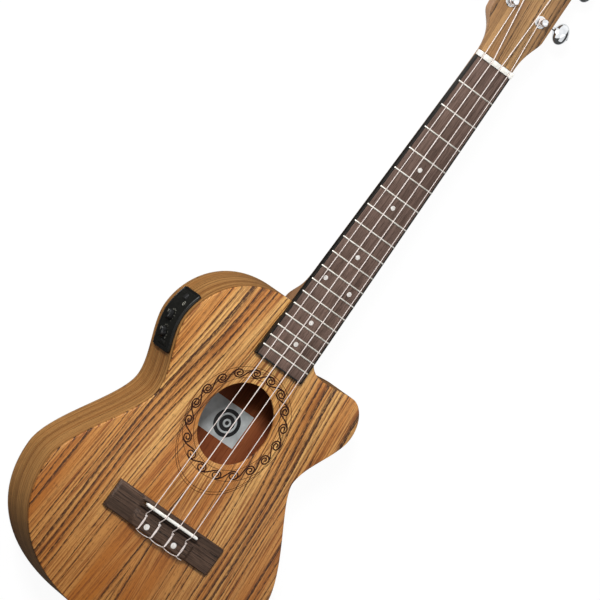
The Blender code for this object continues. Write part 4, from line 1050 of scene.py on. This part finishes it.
# %% Post
post = turned([
    (2.5 * MM, CASE_LOW + 1.3 * MM), (2.5 * MM, AXLE_W - 1.5 * MM), (3.8 * MM, AXLE_W - 1.5 * MM),
    (3.8 * MM, AXLE_W + 1.5 * MM), (2.5 * MM, AXLE_W + 1.5 * MM), (2.5 * MM, 4.6 * MM),
    (2.3 * MM, 5.2 * MM), (2.3 * MM, 7.6 * MM), (2.5 * MM, 8.4 * MM), (2.9 * MM, 8.9 * MM),
    (3.0 * MM, 9.4 * MM), (3.0 * MM, 10.0 * MM), (2.7 * MM, 10.5 * MM), (1.9 * MM, 10.75 * MM),
    (0.9 * MM, 10.8 * MM),
], 40)
cut(post, rod((-6 * MM, 0, 8.1 * MM), (6 * MM, 0, 8.1 * MM), 0.55 * MM, 20))
print(len(post.data.polygons), "faces in a post")

# %% [markdown]
# The button is a flat egg, cast in one with its shaft and collar. Its rings shrink towards
# both ends as an ellipse does. A slotted screw closes its end.

# %% Button
AROUND = [(math.cos(math.tau * i / 48), math.sin(math.tau * i / 48)) for i in range(48)]
EGG_MIDDLE, EGG_HALF = 27.9 * MM, 6.8 * MM
EGG_WIDE, EGG_THICK = 9.0 * MM, 4.2 * MM
shaft = [(1.8 * MM, -3.8 * MM), (1.8 * MM, 3.8 * MM), (1.4 * MM, 4.1 * MM), (1.4 * MM, 20.2 * MM),
         (2.2 * MM, 21.0 * MM)]
rings = [[(radius * c, radius * s, height) for c, s in AROUND] for radius, height in shaft]
for i in range(1, 24):
    share = -math.cos(math.pi * i / 24)
    swell = math.sqrt(1 - share * share)
    wide, thick = EGG_WIDE * swell, EGG_THICK * swell
    if share < -0.8:
        wide, thick = max(wide, 2.6 * MM), max(thick, 2.4 * MM)
    rings.append([(thick * c, wide * s, EGG_MIDDLE + EGG_HALF * share) for c, s in AROUND])
button = place(lofted(rings), along_x(SHAFT_U, AXLE_W))
end_screw = turned([(1.9 * MM, 33.6 * MM), (1.9 * MM, 34.6 * MM), (1.5 * MM, 34.9 * MM)], 24)
cut(end_screw, block((-0.25 * MM, -3 * MM, 34.6 * MM), (0.25 * MM, 3 * MM, 36 * MM)))
button = join(button, place(end_screw, along_x(SHAFT_U, AXLE_W)))
print(len(button.data.polygons), "faces in a button")

# %% [markdown]
# Each tuner is a copy of the three patterns at its own post, mirrored on the bass side. The
# case stays with the head, and post and button turn with bodies of their own.

# %% Four tuners
for number, side, u in POSTS:
    spot = HEAD @ Matrix.Translation((side * POST_X, u, 0)) @ Matrix.Diagonal((side, 1, 1, 1))
    for pattern, name, finish, slot, body in (
        (case, "case", chrome, "tuner_chrome", "root"),
        (post, "post", chrome, "tuner_chrome", f"post_{number}"),
        (button, "button", chrome, "button_chrome", f"button_{number}"),
    ):
        settle(place(copy_of(pattern), spot), f"tuner_{name}_{number}_fine", finish, body,
               [f"tuner_{name}_{number}"], 40)
for pattern in (case, post, button):
    bpy.data.objects.remove(pattern)
print("four tuners set")

# %% [markdown]
# ## Strings
# A string is tied on the bridge's tie block: it lies over the block, drops behind it, comes
# forward through a hole and runs over saddle and nut to its post, where it winds down two and
# a half turns. On the block it is wound round itself, here a small coil, and its cut end is
# tucked along the rear edge towards the next string.

# %% Strings
SADDLE_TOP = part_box("saddle")[1].z
DIAMETERS = {"g": 0.70, "c": 0.90, "e": 0.80, "a": 0.65}
SADDLE_SPREAD, NUT_SPREAD = 41.2 * MM, 27 * MM
HOLE_Z = BRIDGE_TOP - 2.2 * MM
REAR_Y = -21.5 * MM
WIND_TOP = 7.3 * MM


def quarter(middle, radius, start, end, steps=6):
    """Points on an arc in the y-z plane."""
    angles = [start + (end - start) * i / steps for i in range(steps + 1)]
    return [(middle[0] + radius * math.cos(a), middle[1] + radius * math.sin(a)) for a in angles]


for i, (name, (number, side, u)) in enumerate(zip(DIAMETERS, POSTS)):
    radius = DIAMETERS[name] / 2 * MM
    clear = radius + GAP
    saddle_x, nut_x = SADDLE_SPREAD * (i / 3 - 0.5), NUT_SPREAD * (i / 3 - 0.5)
    loop = [(-10.0 * MM, BRIDGE_TOP + clear)]
    loop += quarter((REAR_Y, BRIDGE_TOP), clear, math.pi / 2, math.pi)
    loop += quarter((REAR_Y, HOLE_Z + clear), clear, math.pi, 1.5 * math.pi)
    loop += [(-8.8 * MM + clear, HOLE_Z)]
    bend = 0.8 * MM
    loop += quarter((-2.4 * MM, SADDLE_TOP + clear - bend), bend, math.radians(150), math.radians(90))
    route = [Vector((saddle_x, y, z)) for y, z in loop]
    slot_z = BOARD_TOP + 1.0 * MM + clear
    route += [Vector((nut_x, SCALE_LENGTH + GAP, slot_z)), Vector((nut_x, NECK_END - GAP, slot_z))]
    leave = HEAD.inverted() @ route[-1]
    around = 2.5 * MM + clear
    away = Vector((leave.x - side * POST_X, leave.y - u))
    angle = math.atan2(away.y, away.x) - side * math.acos(around / away.length)
    for k in range(61):
        bearing = angle - side * math.tau * k / 24
        spot = (side * POST_X + around * math.cos(bearing), u + around * math.sin(bearing),
                WIND_TOP - (2 * radius + GAP) * k / 24)
        route.append(HEAD @ Vector(spot))
    coil = []
    for k in range(31):
        bearing = math.tau * 1.5 * k / 30
        coil.append((saddle_x + (radius + 0.35 * MM) * math.cos(bearing), -10.4 * MM + 1.5 * MM * k / 30,
                     BRIDGE_TOP + clear + (radius + 0.3 * MM) * math.sin(bearing)))
    tuck, droop = (13.73 * MM, 0.7 * MM) if i < 3 else (6 * MM, 0.3 * MM)
    tail = []
    for k in range(13):
        t = k / 12
        sag = math.sin(math.pi * t) * droop
        low = BRIDGE_TOP - 0.6 * MM - 1.2 * MM * t - sag
        tail.append((saddle_x + tuck * t, REAR_Y - 1.0 * MM - sag, low))
    rise = [(saddle_x + 0.5 * MM, -11 * MM, BRIDGE_TOP + clear + radius),
            (saddle_x + 0.9 * MM, -16 * MM, BRIDGE_TOP + clear),
            (saddle_x + 0.3 * MM, -21 * MM, BRIDGE_TOP + clear + radius), tail[0]]
    strung = wire([route, coil, rise, tail], DIAMETERS[name] * MM, resolution=2)
    node = "string_" + name
    settle(strung, node + "_strung", string_line, "root", [node], 60)
print("four strings tied")

# %% [markdown]
# ## Preamp panel
# The plate is a moulded part with soft edges. A raised rim follows its outline, bent with
# the body's side.

# %% Panel plate
settle(eased("preamp_plate", 0.4 * MM), "preamp_plate_eased", black_abs,
       stands_for=["preamp_plate"])
RIM_LOW, RIM_HIGH, RIM_UP = 104.1 * MM, 151.9 * MM, 16.1 * MM
KNOBS = {"knob_volume": 128.5 * MM, "knob_tone": 115.7 * MM}
TRAY_Y, SIGN_Y = 108.5 * MM, 141.0 * MM
PLATE_FACE = 2.03 * MM
rim_run = [RIM_LOW + (RIM_HIGH - RIM_LOW) * i / 40 for i in range(41)]
raised = [on_rim(y, RIM_UP, 2.1 * MM) for y in rim_run]
raised += [on_rim(y, -RIM_UP, 2.1 * MM) for y in rim_run[::-1]]
settle(wire([raised], 1.0 * MM, True), "panel_rim", gloss_abs, smooth=50)
print("panel", round((RIM_HIGH - RIM_LOW) / MM, 1), "mm long")

# %% [markdown]
# Two fluted knobs for volume and tone. Each has a foot that runs in the plate, a painted
# pointer, and eleven scale ticks on the plate round it.

# %% Knobs
foot = turned([(1.8 * MM, -8.0 * MM), (1.8 * MM, 2.3 * MM), (3.9 * MM, 2.3 * MM), (3.9 * MM, 3.0 * MM)], 96)
skirt = turned([(4.1 * MM, 2.4 * MM), (4.1 * MM, 5.3 * MM), (3.9 * MM, 5.9 * MM), (3.5 * MM, 6.25 * MM),
                (2.2 * MM, 6.3 * MM)], 96, 0.25 * MM, 24)
knob = join(foot, skirt)
pointer = ease(block((1.0 * MM, -0.25 * MM, 6.2 * MM), (3.6 * MM, 0.25 * MM, 6.38 * MM)), 0.05 * MM)
for name, y in KNOBS.items():
    settle(place(copy_of(knob), rim_frame(y)), name + "_fluted", knob_abs, name, [name], 30)
    settle(place(copy_of(pointer), rim_frame(y)), name + "_pointer", white_paint, name)
    ticks = []
    for i in range(11):
        a = math.radians(-135 + 27 * i)
        ends = [(far * math.cos(a), far * math.sin(a)) for far in (4.9 * MM, 5.7 * MM)]
        ticks.append([on_rim(y + ahead, up, PLATE_FACE) for ahead, up in ends])
    settle(wire(ticks, 0.25 * MM, resolution=1), name + "_scale", white_paint)
print(len(KNOBS), "knobs")

# %% [markdown]
# A square rubber push button with a standby sign beside it, and a battery tray with four
# finger ridges to pull it by.

# %% Button, tray and sign
settle(eased("power_button", 0.5 * MM, 3), "power_button_soft", rubber, "power_button",
       ["power_button"])
settle(eased("battery_tray", 0.3 * MM), "battery_tray_eased", black_abs, "battery_tray",
       ["battery_tray"])
rib = ease(block((-1.7 * MM, -0.55 * MM, 1.5 * MM), (1.7 * MM, 0.55 * MM, 2.6 * MM)), 0.3 * MM)
for number in range(4):
    spot = rim_frame(TRAY_Y) @ Matrix.Translation((0, (-4.5 + 3 * number) * MM, 0))
    settle(place(copy_of(rib), spot), f"tray_rib_{number + 1}", black_abs, "battery_tray")
for pattern in (knob, pointer, rib):
    bpy.data.objects.remove(pattern)

arc = [math.radians(125 + 290 * i / 24) for i in range(25)]
circle = [(SIGN_Y + 1.5 * MM * math.cos(a), (6 + 1.5 * math.sin(a)) * MM) for a in arc]
stroke = [(SIGN_Y, 6.3 * MM), (SIGN_Y, 8.2 * MM)]
sign = [[on_rim(y, up, PLATE_FACE) for y, up in line] for line in (circle, stroke)]
settle(wire(sign, 0.45 * MM, resolution=1), "standby_sign", white_paint)
print("panel fitted")

# %% [markdown]
# ## Output jack
# A threaded sleeve with a round washer and a six-sided nut, and the socket's bore in it.

# %% Jack
sleeve = turned([(5.4 * MM, -3.7 * MM), (5.5 * MM, -3.5 * MM), (5.5 * MM, 33 * MM)], 48)
washer = ease(turned([(7.8 * MM, -1.2 * MM), (7.8 * MM, -0.3 * MM)], 64), 0.2 * MM)
nut = ease(turned([(7.6 * MM, -2.5 * MM), (7.6 * MM, -1.2 * MM)], 6), 0.35 * MM)
for piece in (washer, nut):
    cut(piece, rod((0, 0, -9 * MM), (0, 0, 9 * MM), 5.45 * MM, 48))
cut(sleeve, rod((0, 0, -9 * MM), (0, 0, 31 * MM), 3.3 * MM, 48))
jack = join(sleeve, washer, nut)
place(jack, Matrix.Translation((0, -100 * MM, jack_z)) @ Matrix.Rotation(-math.pi / 2, 4, "X"))
settle(jack, "output_jack_fine", chrome, stands_for=["output_jack"])
print("jack fitted")

# %% [markdown]
# ## Floor
# A pale floor carries the ukulele. It is a photographer's sweep: the camera sees it almost
# pure white, and it keeps a soft shadow, but it throws little light back at the sides.
# Chrome needs something dark to mirror, so in reflections the floor is white only round the
# head. Light Path tells the material which kind of ray asks.

# %% Floor
let_go()
bpy.ops.mesh.primitive_plane_add(size=60, location=(0, 0, -0.4 * MM))
floor = bpy.context.object
floor.name = "floor"
sweep, tree, shader = new_finish("white seamless paper", Roughness=0.9)
lit = add(tree, "LightPath")
tone = add(tree, "MapRange", [lit["Is Camera Ray"], 0, 1, 0.2, 0.9])[0]
tree.links.new(tone, shader.inputs["Base Color"])
glow = add(tree, "Emission", {"Color": (1, 1, 1, 1), "Strength": 1.03})[0]
share = add(tree, "Math", [lit["Is Camera Ray"], 0.92], operation="MULTIPLY")[0]
seen = add(tree, "MixShader", [share, shader.outputs[0], glow])[0]

HEAD_ZONE = (0.36, 0.46)
north = add(tree, "SeparateXYZ", [add(tree, "TexCoord")["Object"]])["Y"]
level = add(tree, "MapRange", [north, *HEAD_ZONE, 0.06, 0.95])[0]
mirror = add(tree, "Emission", {"Strength": level})[0]
mixed = add(tree, "MixShader", [lit["Is Glossy Ray"], seen, mirror])[0]
tree.links.new(mixed, tree.nodes["Material Output"].inputs["Surface"])
floor.data.materials.append(sweep)
print("floor laid")

# %% [markdown]
# ## World
# The sky is plain white for the camera. As a light it is brighter towards the head, which
# shades the tail's side. In reflections it is dark but for one patch towards the head and
# the bass side, which does what a large softbox does in a studio.

# %% World
SOFTBOX = Vector((-0.50, 0.75, 0.30)).normalized()
HEADWARDS = (-0.35, 0.94, 0)
world = bpy.data.worlds.new("studio")
world.use_nodes = True
tree = world.node_tree
sky = tree.nodes["Background"]
sky.inputs["Color"].default_value = (1, 1, 1, 1)
lit = add(tree, "LightPath")
direction = add(tree, "TexCoord")["Generated"]
facing = add(tree, "VectorMath", [direction, SOFTBOX], operation="DOT_PRODUCT")["Value"]
patch = add(tree, "MapRange", [facing, 0.12, 0.20, 0.08, 1.15])[0]
north = add(tree, "VectorMath", [direction, HEADWARDS], operation="DOT_PRODUCT")["Value"]
flag = add(tree, "MapRange", [north, -0.5, 0.3, 0.04, 0.46])[0]
sockets = {0: lit["Is Camera Ray"], MIX_FIRST: flag, MIX_SECOND: 1.0}
plain = add(tree, "Mix", sockets, data_type="FLOAT")[0]
sockets = {0: lit["Is Glossy Ray"], MIX_FIRST: plain, MIX_SECOND: patch}
level = add(tree, "Mix", sockets, data_type="FLOAT")[0]
tree.links.new(level, sky.inputs["Strength"])
bpy.context.scene.world = world
print("world lit")


# %% [markdown]
# ## Lamps
# Three square softboxes: a key light from the bass side that draws the string shadows, a
# low one along the bass side that lights the rim, and a wide weak one from the treble side.

# %% Lamps
def lamp(name, toward, distance, size, watts):
    """A square soft lamp that looks at the ukulele's middle from the given direction."""
    let_go()
    middle = Vector((0, 0.18, 0.03))
    direction = Vector(toward).normalized()
    bpy.ops.object.light_add(type="AREA", location=middle + direction * distance)
    made = bpy.context.object
    made.name = name
    made.rotation_euler = direction.to_track_quat("Z", "Y").to_euler()
    made.data.size = size
    made.data.energy = watts


lamp("key lamp", (-0.7, 0.4, 1.0), 2.4, 0.5, 40)
lamp("side lamp", (-1.0, 0.75, 0.25), 2.4, 1.0, 24)
lamp("fill lamp", (0.9, 0.2, 1.2), 2.4, 1.8, 9)
bpy.context.scene.view_settings.view_transform = "Standard"
print("three lamps set")
